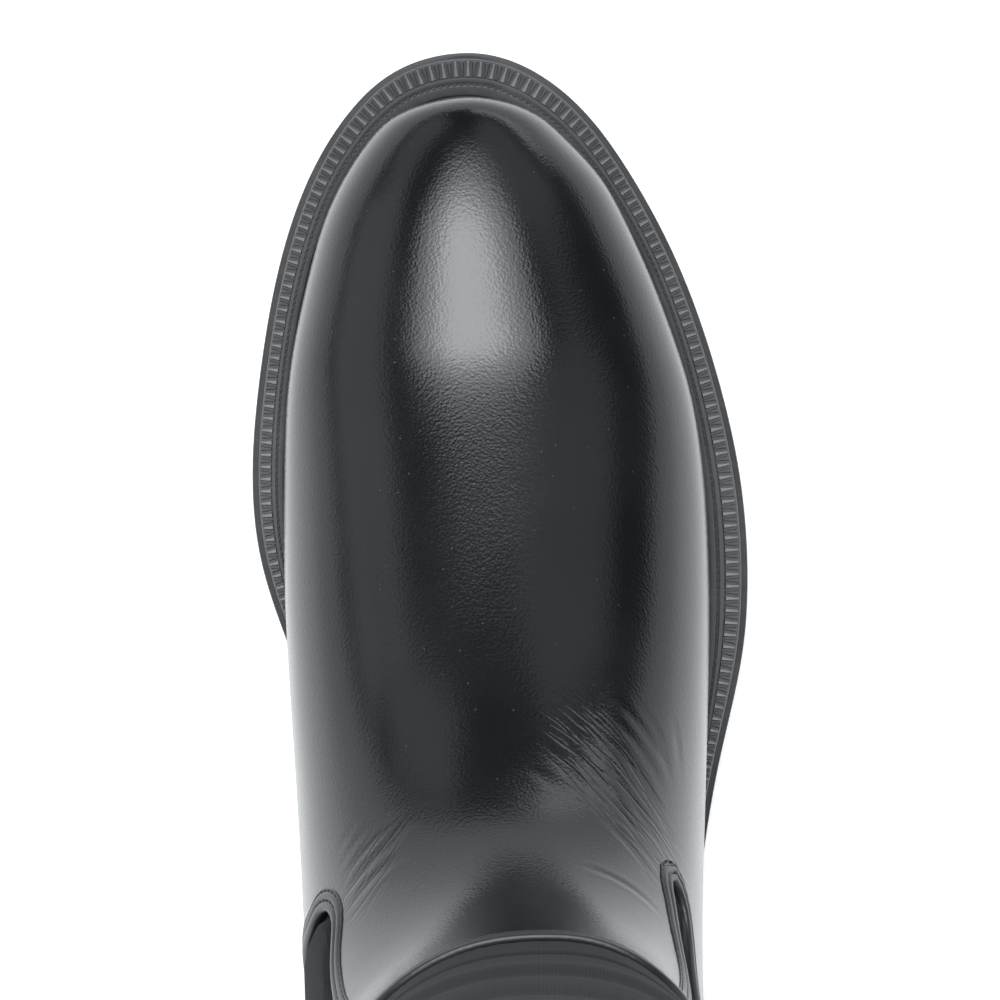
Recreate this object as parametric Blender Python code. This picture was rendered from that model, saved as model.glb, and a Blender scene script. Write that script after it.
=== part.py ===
"""Tall pull-on boot for the right foot, as an assembly of its made pieces.

The frame is in metres: +Y points to the toe, +X to the outer (little toe) side and +Z up. The origin
lies on the floor under the middle of the sole. The sizes below are in millimetres. A station is a
distance measured back from the sole's toe tip, and inner and outer are the two sides of the foot.
"""

from collections import namedtuple

import bmesh
import bpy
import numpy as np
from mathutils import Matrix

MM = 0.001
SHARP_ANGLE = 0.6
MERGE_DISTANCE = 1e-6

# Main sizes of the sole.
SOLE_LENGTH = 280.0
HEEL_BREAST = 207.0
BREAST_SLOPE = 2.0
SOLE_LOOP_STEPS = 40
FOOT_LINE_STEPS = 400
TURN_STEP = 1e-4

# Plan of the sole: x of both edges, and how far the leather's foot stands in from each edge.
SoleRow = namedtuple("SoleRow", "station inner outer inner_margin outer_margin")
SOLE_PLAN = [
    SoleRow(0.0, -6.5, -6.5, 10.4, 10.4),
    SoleRow(4.3, -22.4, 8.0, 10.0, 10.0),
    SoleRow(11.6, -30.6, 17.1, 9.3, 9.1),
    SoleRow(24.0, -38.6, 26.5, 8.1, 8.0),
    SoleRow(42.0, -45.1, 36.3, 7.5, 7.6),
    SoleRow(66.7, -49.6, 45.1, 7.5, 8.3),
    SoleRow(86.0, -51.0, 49.4, 7.9, 9.2),
    SoleRow(105.0, -48.9, 51.0, 6.9, 9.6),
    SoleRow(122.0, -43.2, 50.0, 5.2, 8.8),
    SoleRow(145.0, -35.6, 45.0, 4.6, 5.9),
    SoleRow(170.0, -32.4, 40.8, 4.5, 4.8),
    SoleRow(203.0, -31.9, 37.6, 4.5, 4.6),
    SoleRow(235.0, -32.7, 36.2, 4.6, 4.6),
    SoleRow(258.0, -30.4, 33.9, 4.7, 4.7),
    SoleRow(272.0, -20.3, 23.8, 4.8, 4.8),
    SoleRow(SOLE_LENGTH, 1.75, 1.75, 4.8, 4.8),
]

# Side profile of the sole: the seat that carries the foot, and the tread line under it.
SeatRow = namedtuple("SeatRow", "station height")
SEAT_LINE = [
    SeatRow(0.0, 26.0),
    SeatRow(25.0, 20.8),
    SeatRow(50.0, 17.6),
    SeatRow(80.0, 16.0),
    SeatRow(110.0, 16.4),
    SeatRow(140.0, 19.2),
    SeatRow(170.0, 24.2),
    SeatRow(200.0, 29.4),
    SeatRow(230.0, 33.0),
    SeatRow(258.0, 34.3),
    SeatRow(SOLE_LENGTH, 34.6),
]
TREAD_LINE = [
    SeatRow(0.0, 9.5),
    SeatRow(12.0, 5.4),
    SeatRow(27.0, 2.0),
    SeatRow(46.0, 0.0),
    SeatRow(130.0, 0.0),
    SeatRow(150.0, 4.2),
    SeatRow(175.0, 11.0),
    SeatRow(HEEL_BREAST, 14.5),
    SeatRow(HEEL_BREAST + BREAST_SLOPE, 0.0),
    SeatRow(268.0, 0.0),
    SeatRow(SOLE_LENGTH, 3.0),
]

# Side of the sole: a full rand over a set-back tread layer with a rounded lower edge.
RAND_HEIGHT = 7.0
TREAD_SETBACK = 1.3
TREAD_TAPER = 1.8
TREAD_ROUND = 1.4

# Lugs: slanted slots cut in from both edges of the tread.
SlotRow = namedtuple("SlotRow", "first_station pitch count")
LUG_SLOTS = [SlotRow(24.0, 13.0, 9), SlotRow(222.0, 12.5, 4)]
SLOT_WIDTH = 4.6
SLOT_DEPTH = 3.4
SLOT_SLANT = 0.22
SLOT_INNER_END = 13.0
SLOT_REACH = 70.0

# Welt and insole.
SEAT_GAP = 0.3
WELT_SETBACK = 1.4
WELT_HEIGHT = 4.0
WELT_CHAMFER = 0.7
SIDE_GAP = 0.35
INSOLE_HEIGHT = 3.6
INSOLE_GAP = 0.8

# Walls of the upper, the shaft and the binding.
UPPER_WALL = 1.8
SHAFT_WALL = 1.6
BINDING_WALL = 1.0
WALL_GAP = 0.4
SKIRT_HEIGHT = 4.8

# The last and leg, as sections that swing from upright at the toe to level at the hem. Each runs from
# its crown on the front line to its keel, which lies on the seat up to HEEL_ROW and then climbs the
# back seam. inner and outer are the widest x, ridge and seam the middle x at crown and keel, and belly
# is where along the section the width lies. Over it, fullness 1 is an ellipse and less is squarer.
LAST_COLUMNS = "crown_station crown keel_station keel inner outer ridge seam belly fullness"
LastRow = namedtuple("LastRow", LAST_COLUMNS)
ON_SEAT = 0.0
LAST = [
    LastRow(10.2, 38.5, 10.4, ON_SEAT, -6.0, -6.0, -6.0, -6.0, 0.30, 1.00),
    LastRow(10.8, 46.2, 11.4, ON_SEAT, -14.0, 1.6, -6.0, -6.0, 0.30, 1.00),
    LastRow(13.4, 51.6, 14.4, ON_SEAT, -21.6, 8.4, -6.0, -6.0, 0.30, 0.98),
    LastRow(18.8, 54.8, 19.4, ON_SEAT, -26.9, 14.2, -6.0, -6.0, 0.30, 0.96),
    LastRow(26.4, 57.3, 26.4, ON_SEAT, -31.6, 20.5, -6.0, -6.0, 0.30, 0.95),
    LastRow(35.4, 59.4, 35.4, ON_SEAT, -35.7, 25.6, -5.8, -5.8, 0.29, 0.94),
    LastRow(46.2, 61.0, 46.4, ON_SEAT, -38.8, 30.6, -5.3, -5.0, 0.28, 0.93),
    LastRow(57.2, 62.4, 59.4, ON_SEAT, -41.5, 35.3, -4.4, -3.8, 0.27, 0.92),
    LastRow(67.8, 64.6, 74.4, ON_SEAT, -43.2, 39.2, -3.1, -2.4, 0.26, 0.91),
    LastRow(86.2, 71.2, 91.6, ON_SEAT, -43.6, 41.5, -1.6, -1.0, 0.26, 0.91),
    LastRow(107.6, 80.3, 112.0, ON_SEAT, -43.2, 42.1, 0.2, 0.0, 0.28, 0.90),
    LastRow(126.5, 89.9, 136.0, ON_SEAT, -41.7, 41.5, 2.4, 0.0, 0.31, 0.89),
    LastRow(141.0, 100.2, 162.0, ON_SEAT, -39.9, 40.5, 4.6, 0.0, 0.35, 0.87),
    LastRow(151.5, 110.8, 190.0, ON_SEAT, -38.4, 39.6, 6.2, 0.5, 0.39, 0.86),
    LastRow(158.2, 120.8, 217.0, ON_SEAT, -37.4, 39.4, 7.3, 1.0, 0.42, 0.85),
    LastRow(162.6, 129.8, 240.0, ON_SEAT, -36.7, 39.8, 8.0, 1.5, 0.45, 0.84),
    LastRow(165.4, 138.4, 258.0, ON_SEAT, -36.1, 40.7, 8.4, 1.7, 0.47, 0.84),
    LastRow(167.2, 147.0, 270.5, ON_SEAT, -35.5, 41.8, 8.6, 1.75, 0.48, 0.84),
    LastRow(168.4, 156.5, 275.2, ON_SEAT, -35.0, 42.9, 8.6, 1.75, 0.49, 0.84),
    LastRow(169.2, 168.5, 276.6, 62.0, -34.6, 44.0, 8.5, 2.2, 0.50, 0.84),
    LastRow(169.5, 183.0, 273.6, 93.0, -34.3, 44.9, 8.3, 3.2, 0.50, 0.84),
    LastRow(169.5, 200.5, 269.8, 127.0, -34.3, 45.7, 8.1, 4.2, 0.50, 0.85),
    LastRow(169.1, 222.0, 267.4, 164.0, -34.6, 46.4, 7.8, 5.0, 0.50, 0.87),
    LastRow(168.4, 250.0, 266.8, 207.0, -35.4, 47.2, 7.3, 5.6, 0.50, 0.90),
    LastRow(167.2, 287.0, 268.2, 260.0, -36.6, 48.2, 6.7, 5.8, 0.50, 0.93),
    LastRow(166.0, 337.0, 270.8, 325.0, -37.8, 49.4, 6.1, 5.8, 0.50, 0.95),
    LastRow(165.4, 395.0, 272.6, 395.0, -38.4, 50.0, 5.8, 5.8, 0.50, 0.96),
]
HEEL_ROW = 18
UPPER_LAST_ROW = 22.0
SHAFT_FIRST_ROW = 12.0
BINDING_FIRST_ROW = 11.5
FULL_FOOT = 0.9999
LOWER_STEPS = 4
UPPER_STEPS = 7

# How closely the sections are sampled along the boot: wide on the foot and leg, close at the ankle.
SampleRow = namedtuple("SampleRow", "first_row last_row count")
SAMPLES = [SampleRow(0, HEEL_ROW, 31), SampleRow(HEEL_ROW, 24, 19), SampleRow(24, 26, 3)]

# The leg steps out over the leather's edge, with soft rings above that.
FoldRow = namedtuple("FoldRow", "height depth width")
LEG_STEP = FoldRow(161.0, 1.8, 1.4)
LEG_FOLDS = [
    FoldRow(193.0, 0.6, 6.0),
    FoldRow(204.0, -0.7, 5.5),
    FoldRow(217.0, 0.2, 6.0),
    FoldRow(238.0, -1.2, 8.0),
]

# Top line of the leather seen from each side, front to back, with the notch that takes the gore.
TopRow = namedtuple("TopRow", "inner_station inner_height outer_station outer_height")
TOP_LINE = [
    TopRow(150.0, 155.0, 150.0, 155.0),
    TopRow(168.0, 155.0, 168.0, 155.0),
    TopRow(177.0, 154.4, 173.5, 154.2),
    TopRow(183.6, 150.4, 179.3, 150.2),
    TopRow(186.8, 143.0, 182.2, 143.0),
    TopRow(187.4, 132.0, 183.0, 132.0),
    TopRow(186.6, 121.0, 181.8, 121.5),
    TopRow(183.6, 113.0, 178.2, 114.2),
    TopRow(179.4, 106.6, 172.4, 108.6),
    TopRow(174.6, 102.4, 167.2, 104.2),
    TopRow(170.6, 99.2, 163.4, 101.4),
    TopRow(168.9, 94.4, 162.6, 99.4),
    TopRow(169.9, 89.6, 164.4, 98.0),
    TopRow(173.0, 85.0, 168.6, 97.6),
    TopRow(176.6, 77.5, 173.2, 99.4),
    TopRow(180.4, 69.0, 178.0, 103.4),
    TopRow(186.6, 61.6, 183.6, 109.2),
    TopRow(194.2, 61.0, 189.6, 116.4),
    TopRow(200.6, 69.5, 195.8, 124.4),
    TopRow(205.6, 85.0, 202.0, 132.4),
    TopRow(210.4, 105.0, 208.6, 140.0),
    TopRow(215.4, 126.0, 216.0, 146.4),
    TopRow(222.6, 143.5, 225.8, 151.0),
    TopRow(238.0, 152.0, 240.0, 153.4),
    TopRow(258.0, 154.6, 258.0, 154.6),
    TopRow(285.0, 155.0, 285.0, 155.0),
]
TOP_LINE_STEPS = 2
BINDING_WIDTH = 4.2
SIDE_SPLIT = 6.0
SIDE_OVERLAP = 0.3
CUTTER_REACH = 90.0
CUTTER_TOP = 320.0
CUTTER_BOTTOM = -20.0

# Lower edge of the shaft, hidden under the leather: down the instep, then level to the heel.
SHAFT_FOOT = [(100.0, 100.0), (128.0, 84.0), (146.0, 60.0), (160.0, 45.0), (300.0, 45.0)]

Finish = namedtuple("Finish", "color roughness")
RUBBER = Finish((0.030, 0.031, 0.034), 0.62)
WELT_RUBBER = Finish((0.036, 0.037, 0.040), 0.55)
BOARD = Finish((0.055, 0.052, 0.050), 0.90)
LEATHER = Finish((0.013, 0.013, 0.014), 0.32)
EDGE = Finish((0.022, 0.022, 0.024), 0.45)
FABRIC = Finish((0.030, 0.029, 0.033), 0.88)


def natural_spline(knots, values):
    """A smooth curve through one column of a table, with continuous curvature."""
    knots = np.asarray(knots, float)
    values = np.asarray(values, float)
    gaps = np.diff(knots)
    slopes = np.diff(values) / gaps
    count = len(knots)
    system = np.eye(count)
    right = np.zeros(count)
    for i in range(1, count - 1):
        system[i, i - 1:i + 2] = gaps[i - 1], 2.0 * (gaps[i - 1] + gaps[i]), gaps[i]
        right[i] = 6.0 * (slopes[i] - slopes[i - 1])
    bends = np.linalg.solve(system, right)

    def at(position):
        i = np.clip(np.searchsorted(knots, position, side="right") - 1, 0, count - 2)
        gap = gaps[i]
        after = (knots[i + 1] - position) / gap
        before = 1.0 - after
        curve = (after ** 3 - after) * bends[i] + (before ** 3 - before) * bends[i + 1]
        return after * values[i] + before * values[i + 1] + curve * gap * gap / 6.0

    return at


def monotone_spline(knots, values):
    """A smooth curve through one column that never swings past its rows."""
    knots = np.asarray(knots, float)
    values = np.asarray(values, float)
    gaps = np.diff(knots)
    slopes = np.diff(values) / gaps
    tangents = np.zeros(len(knots))
    tangents[0], tangents[-1] = slopes[0], slopes[-1]
    for i in range(1, len(knots) - 1):
        if slopes[i - 1] * slopes[i] > 0.0:
            tangents[i] = 2.0 / (1.0 / slopes[i - 1] + 1.0 / slopes[i])

    def at(position):
        i = np.clip(np.searchsorted(knots, position, side="right") - 1, 0, len(knots) - 2)
        gap = gaps[i]
        f = (position - knots[i]) / gap
        rise = f * f * (3.0 - 2.0 * f)
        lead = f * (1.0 - f) ** 2
        tail = f * f * (f - 1.0)
        swing = lead * tangents[i] + tail * tangents[i + 1]
        return values[i] + rise * (values[i + 1] - values[i]) + gap * swing

    return at


def turn_of(station, start=0.0, end=SOLE_LENGTH):
    """The angle of a station on the half turn from toe tip to heel, in which round ends are smooth."""
    return np.arccos(np.clip(1.0 - 2.0 * (station - start) / (end - start), -1.0, 1.0))


PLAN_TURNS = [turn_of(row.station) for row in SOLE_PLAN]
PLAN = {name: natural_spline(PLAN_TURNS, [getattr(row, name) for row in SOLE_PLAN])
        for name in ("inner", "outer", "inner_margin", "outer_margin")}
SEAT = natural_spline([row.station for row in SEAT_LINE], [row.height for row in SEAT_LINE])
TREAD = monotone_spline([row.station for row in TREAD_LINE], [row.height for row in TREAD_LINE])


def edge_point(side, turn, inset):
    """A point (x, station) that lies the given distance inside one edge of the sole."""
    before, after = turn - TURN_STEP, turn + TURN_STEP
    ahead = np.array([PLAN[side](after), SOLE_LENGTH * (1.0 - np.cos(after)) / 2.0])
    behind = np.array([PLAN[side](before), SOLE_LENGTH * (1.0 - np.cos(before)) / 2.0])
    along = (ahead - behind) / np.linalg.norm(ahead - behind)
    inward = np.array([along[1], -along[0]]) if side == "inner" else np.array([-along[1], along[0]])
    return (ahead + behind) / 2.0 + inset * inward


def loop_turns():
    """The turns at which the sole is sampled, with both sides of the heel breast among them."""
    even = np.linspace(0.0, np.pi, SOLE_LOOP_STEPS + 1)[1:-1]
    breast = [turn_of(HEEL_BREAST), turn_of(HEEL_BREAST + BREAST_SLOPE)]
    spread = np.pi / SOLE_LOOP_STEPS / 2.0
    kept = [turn for turn in even if min(abs(turn - b) for b in breast) > spread]
    return sorted(kept + breast)


def sole_loop(inset):
    """A closed loop of (x, station) inside the sole's edge: toe, inner side, heel, outer side.

    inset is a distance, or a function of the side and the turn.
    """
    def place(side, turn):
        return edge_point(side, turn, inset(side, turn) if callable(inset) else inset)

    turns = loop_turns()
    toe, heel = ((place("inner", end) + place("outer", end)) / 2.0 for end in (0.0, np.pi))
    inner = [place("inner", turn) for turn in turns]
    outer = [place("outer", turn) for turn in reversed(turns)]
    return np.array([toe] + inner + [heel] + outer)


def margin(side, turn):
    """How far the leather's foot stands in from the sole's edge."""
    return PLAN[side + "_margin"](turn)


def lifted(loop, height):
    """Points of a loop at a height given by a function of the station."""
    return [(x, station, height(station)) for x, station in loop]


def feather_tables():
    """The leather's foot line, as x against the turn between its own toe and heel, for each side."""
    turns = np.linspace(0.0, np.pi, FOOT_LINE_STEPS)
    lines = {}
    for side in ("inner", "outer"):
        points = np.array([edge_point(side, turn, margin(side, turn)) for turn in turns])
        start, end = points[0, 1], points[-1, 1]
        lines[side] = (turn_of(points[:, 1], start, end), points[:, 0], start, end)
    return lines


FEATHER = feather_tables()


def feather_x(side, station):
    """x of the leather's foot line at a station."""
    turns, values, start, end = FEATHER[side]
    return np.interp(turn_of(station, start, end), turns, values)


def to_metres(points):
    """Points (x, station, height) in millimetres as model coordinates."""
    return [(x * MM, (SOLE_LENGTH / 2.0 - station) * MM, z * MM) for x, station, z in points]


def new_material(name, finish):
    """A Principled material of one plain finish."""
    material = bpy.data.materials.new(name)
    material.use_nodes = True
    shader = material.node_tree.nodes["Principled BSDF"]
    shader.inputs["Base Color"].default_value = (*finish.color, 1.0)
    shader.inputs["Roughness"].default_value = finish.roughness
    shader.inputs["Metallic"].default_value = 0.0
    return material


def new_object(name, points, faces, finish):
    """A named object from one closed mesh, with its faces turned out and its own material."""
    mesh = bpy.data.meshes.new(name)
    mesh.from_pydata(to_metres(points), [], faces)
    form = bmesh.new()
    form.from_mesh(mesh)
    bmesh.ops.recalc_face_normals(form, faces=form.faces)
    form.to_mesh(mesh)
    form.free()
    mesh.shade_smooth()
    mesh.set_sharp_from_angle(angle=SHARP_ANGLE)
    mesh.materials.append(new_material(name, finish))
    piece = bpy.data.objects.new(name, mesh)
    bpy.context.collection.objects.link(piece)
    return piece


def ring_faces(count, below, above):
    """Quads between two loops of the same count that start at the given vertex numbers."""
    return [(below + i, below + (i + 1) % count, above + (i + 1) % count, above + i) for i in range(count)]


def cap_faces(count, start):
    """Quads that span a loop from its inner to its outer side, with a triangle at toe and heel."""
    half = count // 2
    faces = [(start, start + 1, start + count - 1)]
    for i in range(1, half - 1):
        faces.append((start + i, start + i + 1, start + count - i - 1, start + count - i))
    faces.append((start + half - 1, start + half, start + half + 1))
    return faces


def stacked_solid(name, loops, finish):
    """A solid from loops that lie one over the other, capped at both ends."""
    count = len(loops[0])
    points = [point for loop in loops for point in loop]
    faces = cap_faces(count, 0) + cap_faces(count, count * (len(loops) - 1))
    for level in range(len(loops) - 1):
        faces += ring_faces(count, level * count, (level + 1) * count)
    return new_object(name, points, faces, finish)


def as_cutter(piece):
    """Mark an object as a construction body that isn't part of the boot."""
    piece.hide_render = True
    piece.display_type = "WIRE"
    return piece


def cut(piece, cutter):
    """Cut one object with another."""
    boolean = piece.modifiers.new(cutter.name, "BOOLEAN")
    boolean.operation = "DIFFERENCE"
    boolean.solver = "EXACT"
    boolean.object = cutter


def lug_cutter():
    """All slots between the lugs, as separate slanted blocks."""
    form = bmesh.new()
    for row in LUG_SLOTS:
        for i in range(row.count):
            station = row.first_station + i * row.pitch
            height = 2.0 * (TREAD(station) + SLOT_DEPTH)
            for sign in (-1.0, 1.0):
                middle = sign * (SLOT_INNER_END + SLOT_REACH / 2.0)
                place = Matrix.Translation((middle * MM, (SOLE_LENGTH / 2.0 - station) * MM, 0.0))
                slant = Matrix.Rotation(-sign * SLOT_SLANT, 4, "Z")
                size = Matrix.Diagonal((SLOT_REACH * MM, SLOT_WIDTH * MM, height * MM, 1.0))
                bmesh.ops.create_cube(form, size=1.0, matrix=place @ slant @ size)
    mesh = bpy.data.meshes.new("lug_slots")
    form.to_mesh(mesh)
    form.free()
    cutter = bpy.data.objects.new("lug_slots", mesh)
    bpy.context.collection.objects.link(cutter)
    return as_cutter(cutter)


def make_outsole():
    """Rubber unit: rand, set-back tread, arch, heel and slotted lugs."""
    def rand_foot(station):
        return SEAT(station) - RAND_HEIGHT

    def tread_side(station):
        return TREAD(station) + TREAD_ROUND

    loops = [
        lifted(sole_loop(0.0), SEAT),
        lifted(sole_loop(0.0), rand_foot),
        lifted(sole_loop(TREAD_SETBACK), rand_foot),
        lifted(sole_loop(TREAD_TAPER), tread_side),
        lifted(sole_loop(TREAD_TAPER + TREAD_ROUND), TREAD),
    ]
    outsole = stacked_solid("outsole", loops, RUBBER)
    cut(outsole, lug_cutter())
    return outsole


def make_welt():
    """Flat rubber strip all round the foot, on the sole's top edge."""
    def at_height(rise):
        return lambda station: SEAT(station) + SEAT_GAP + rise

    def beside_upper(side, turn):
        return margin(side, turn) - SIDE_GAP

    inside = sole_loop(beside_upper)
    loops = [
        lifted(inside, at_height(0.0)),
        lifted(sole_loop(WELT_SETBACK), at_height(0.0)),
        lifted(sole_loop(WELT_SETBACK), at_height(WELT_HEIGHT - WELT_CHAMFER)),
        lifted(sole_loop(WELT_SETBACK + WELT_CHAMFER), at_height(WELT_HEIGHT)),
        lifted(inside, at_height(WELT_HEIGHT)),
    ]
    count = len(inside)
    points = [point for loop in loops for point in loop]
    faces = []
    for level in range(len(loops)):
        faces += ring_faces(count, level * count, (level + 1) % len(loops) * count)
    return new_object("welt", points, faces, WELT_RUBBER)


def make_insole():
    """Board inside the foot, on the sole and clear of the leather's foot."""
    def inside_upper(side, turn):
        return margin(side, turn) + UPPER_WALL + INSOLE_GAP

    def under(station):
        return SEAT(station) + SEAT_GAP

    def over(station):
        return SEAT(station) + SEAT_GAP + INSOLE_HEIGHT

    loop = sole_loop(inside_upper)
    return stacked_solid("insole", [lifted(loop, under), lifted(loop, over)], BOARD)


ROW_NUMBERS = np.arange(len(LAST))
SMOOTH_COLUMNS = ("crown_station", "crown", "inner", "outer", "ridge", "seam", "belly", "fullness")
COLUMN = {name: natural_spline(ROW_NUMBERS, [getattr(row, name) for row in LAST])
          for name in SMOOTH_COLUMNS}
KEEL_STATION = monotone_spline(ROW_NUMBERS, [row.keel_station for row in LAST])
BACK_ROWS = ROW_NUMBERS[HEEL_ROW:]
BACK_HEIGHTS = [row.keel or SEAT(row.keel_station) + SKIRT_HEIGHT for row in LAST[HEEL_ROW:]]
BACK_HEIGHT = monotone_spline(BACK_ROWS, BACK_HEIGHTS)


def section_points(row):
    """One section of the last from the inner keel over the crown to the outer keel."""
    crown = np.array([COLUMN["crown_station"](row), COLUMN["crown"](row)])
    station = KEEL_STATION(row)
    on_seat = row <= HEEL_ROW
    keel = np.array([station, SEAT(station) + SKIRT_HEIGHT if on_seat else BACK_HEIGHT(row)])
    ridge, seam, belly, fullness = (COLUMN[name](row) for name in ("ridge", "seam", "belly", "fullness"))
    sides = {}
    for side in ("inner", "outer"):
        widest = COLUMN[side](row)
        foot = feather_x(side, station) if on_seat else seam
        reach = widest - seam
        start = np.arcsin(np.clip((foot - seam) / reach, 0.0, FULL_FOOT)) if reach else 0.0
        points = []
        for angle in np.linspace(start, np.pi / 2.0, LOWER_STEPS + 1):
            points.append((seam + reach * np.sin(angle), belly * (1.0 - np.cos(angle) / np.cos(start))))
        for angle in np.linspace(0.0, np.pi / 2.0, UPPER_STEPS + 1)[1:]:
            share = belly + (1.0 - belly) * np.sin(angle) ** fullness
            points.append((ridge + (widest - ridge) * np.cos(angle) ** fullness, share))
        sides[side] = [(x, *(keel + share * (crown - keel))) for x, share in points]
    return sides["inner"] + sides["outer"][-2::-1]


def skirt_point(point):
    """The foot of the upper's short upright skirt under a keel point."""
    x, station, _ = point
    return (x, station, SEAT(station) + SEAT_GAP)


def last_surface():
    """The whole last and leg as one open surface: a mesh whose faces know their row."""
    rows = [0.0]
    for sample in SAMPLES:
        rows += list(np.linspace(sample.first_row, sample.last_row, sample.count + 1)[1:])
    form = bmesh.new()
    row_layer = form.faces.layers.float.new("row")
    sections = []
    for row in rows:
        points = section_points(row)
        points = [skirt_point(points[0])] + points + [skirt_point(points[-1])]
        sections.append([form.verts.new(point) for point in to_metres(points)])
    width = len(sections[0])
    for i in range(len(rows) - 1):
        on_seat = rows[i + 1] <= HEEL_ROW
        for j in range(0 if on_seat else 1, width - 1 if on_seat else width - 2):
            corners = (sections[i][j], sections[i + 1][j], sections[i + 1][j + 1], sections[i][j + 1])
            form.faces.new(corners)[row_layer] = (rows[i] + rows[i + 1]) / 2.0
    bmesh.ops.delete(form, geom=[vert for vert in form.verts if not vert.link_faces], context="VERTS")
    bmesh.ops.remove_doubles(form, verts=form.verts, dist=MERGE_DISTANCE)
    bmesh.ops.dissolve_degenerate(form, dist=MERGE_DISTANCE, edges=form.edges)
    bmesh.ops.triangulate(form, faces=form.faces)
    form.normal_update()
    return form, row_layer


def fold_height(height):
    """How far the leg's wall stands out or in at a height."""
    step = LEG_STEP.depth / (1.0 + np.exp((LEG_STEP.height - height) / LEG_STEP.width))
    return step + sum(row.depth * np.exp(-((height - row.height) / row.width) ** 2) for row in LEG_FOLDS)


def thick_wall(name, surface, rows, offsets, finish, fold=None):
    """A closed wall between two offsets, in millimetres, of the rows of the last's surface."""
    form, row_layer = surface
    chosen = [face for face in form.faces if rows[0] <= face[row_layer] <= rows[1]]
    verts = sorted({vert for face in chosen for vert in face.verts}, key=lambda vert: vert.index)
    number = {vert: i for i, vert in enumerate(verts)}
    count = len(verts)
    points = []
    for offset in offsets:
        for vert in verts:
            reach = offset + (fold(vert.co.z / MM) if fold else 0.0)
            place = vert.co / MM + vert.normal * reach
            points.append((place.x, SOLE_LENGTH / 2.0 - place.y, place.z))
    outside = [[number[vert] for vert in face.verts] for face in chosen]
    inside = [[i + count for i in reversed(face)] for face in outside]
    edges = {(face[i - 1], face[i]) for face in outside for i in range(len(face))}
    rims = [(b, a, a + count, b + count) for a, b in edges if (b, a) not in edges]
    return new_object(name, points, outside + inside + sorted(rims), finish)


def smooth_line(points, steps):
    """A smooth line through points of a side view, sampled evenly between each pair."""
    points = np.asarray(points, float)
    lengths = np.linalg.norm(np.diff(points, axis=0), axis=1)
    knots = np.concatenate([[0.0], np.cumsum(np.sqrt(lengths))])
    curves = [natural_spline(knots, points[:, axis]) for axis in range(2)]
    count = len(points) - 1
    samples = np.interp(np.arange(count * steps + 1) / steps, np.arange(count + 1), knots)
    return np.array([[curve(sample) for curve in curves] for sample in samples])


def top_line(side, lower=0.0):
    """The leather's top line on one side, or a line that runs the given distance below it."""
    points = [(getattr(row, side + "_station"), getattr(row, side + "_height")) for row in TOP_LINE]
    line = smooth_line(points, TOP_LINE_STEPS)
    along = np.gradient(line, axis=0)
    along /= np.linalg.norm(along, axis=1)[:, None]
    return line + lower * np.column_stack([along[:, 1], -along[:, 0]])


def side_prism(name, outline, x_from, x_to):
    """A cutter: an outline of the side view, run across the boot from one x to another."""
    count = len(outline)
    points = [(x, station, height) for x in (x_from, x_to) for station, height in outline]
    faces = [tuple(range(count)), tuple(range(2 * count - 1, count - 1, -1))]
    faces += ring_faces(count, 0, count)
    return as_cutter(new_object(name, points, faces, EDGE))


def side_ranges():
    """Both halves of the boot: a name and the x range of its cutters."""
    return [
        ("inner", -CUTTER_REACH, SIDE_SPLIT + SIDE_OVERLAP),
        ("outer", SIDE_SPLIT - SIDE_OVERLAP, CUTTER_REACH),
    ]


def above_top_line():
    """Cutters for all that lies above the leather's top line, gores included."""
    cutters = []
    for side, x_from, x_to in side_ranges():
        line = top_line(side)
        roof = [(line[-1, 0], CUTTER_TOP), (line[0, 0], CUTTER_TOP)]
        cutters.append(side_prism("above_top_" + side, list(map(tuple, line)) + roof, x_from, x_to))
    return cutters


def below_binding():
    """Cutters for all that lies below the binding's lower edge."""
    cutters = []
    for side, x_from, x_to in side_ranges():
        line = top_line(side, BINDING_WIDTH)
        floor = [(line[-1, 0], CUTTER_BOTTOM), (line[0, 0] - CUTTER_REACH, CUTTER_BOTTOM)]
        floor.append((line[0, 0] - CUTTER_REACH, line[0, 1]))
        cutters.append(side_prism("below_binding_" + side, list(map(tuple, line)) + floor, x_from, x_to))
    return cutters


def below_shaft():
    """Cutter for all that lies below the shaft's hidden lower edge."""
    floor = [(SHAFT_FOOT[-1][0], CUTTER_BOTTOM), (SHAFT_FOOT[0][0], CUTTER_BOTTOM)]
    return side_prism("below_shaft", SHAFT_FOOT + floor, -CUTTER_REACH, CUTTER_REACH)


def make_upper_and_shaft():
    """The leather foot, its bound edge and the stretch leg, all from the one last."""
    surface = last_surface()
    leg_rows = (SHAFT_FIRST_ROW, len(LAST))
    sock = -UPPER_WALL - WALL_GAP
    upper = thick_wall("upper", surface, (0.0, UPPER_LAST_ROW), (0.0, -UPPER_WALL), LEATHER)
    binding_rows = (BINDING_FIRST_ROW, UPPER_LAST_ROW)
    binding_offsets = (WALL_GAP + BINDING_WALL, WALL_GAP)
    binding = thick_wall("edge_binding", surface, binding_rows, binding_offsets, EDGE)
    shaft = thick_wall("shaft", surface, leg_rows, (sock, sock - SHAFT_WALL), FABRIC, fold_height)
    surface[0].free()
    for cutter in above_top_line():
        cut(upper, cutter)
        cut(binding, cutter)
    for cutter in below_binding():
        cut(binding, cutter)
    cut(shaft, below_shaft())


def main():
    """Clear the scene and make every piece in place."""
    for old in list(bpy.data.objects):
        bpy.data.objects.remove(old, do_unlink=True)
    make_outsole()
    make_welt()
    make_insole()
    make_upper_and_shaft()


main()
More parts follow.
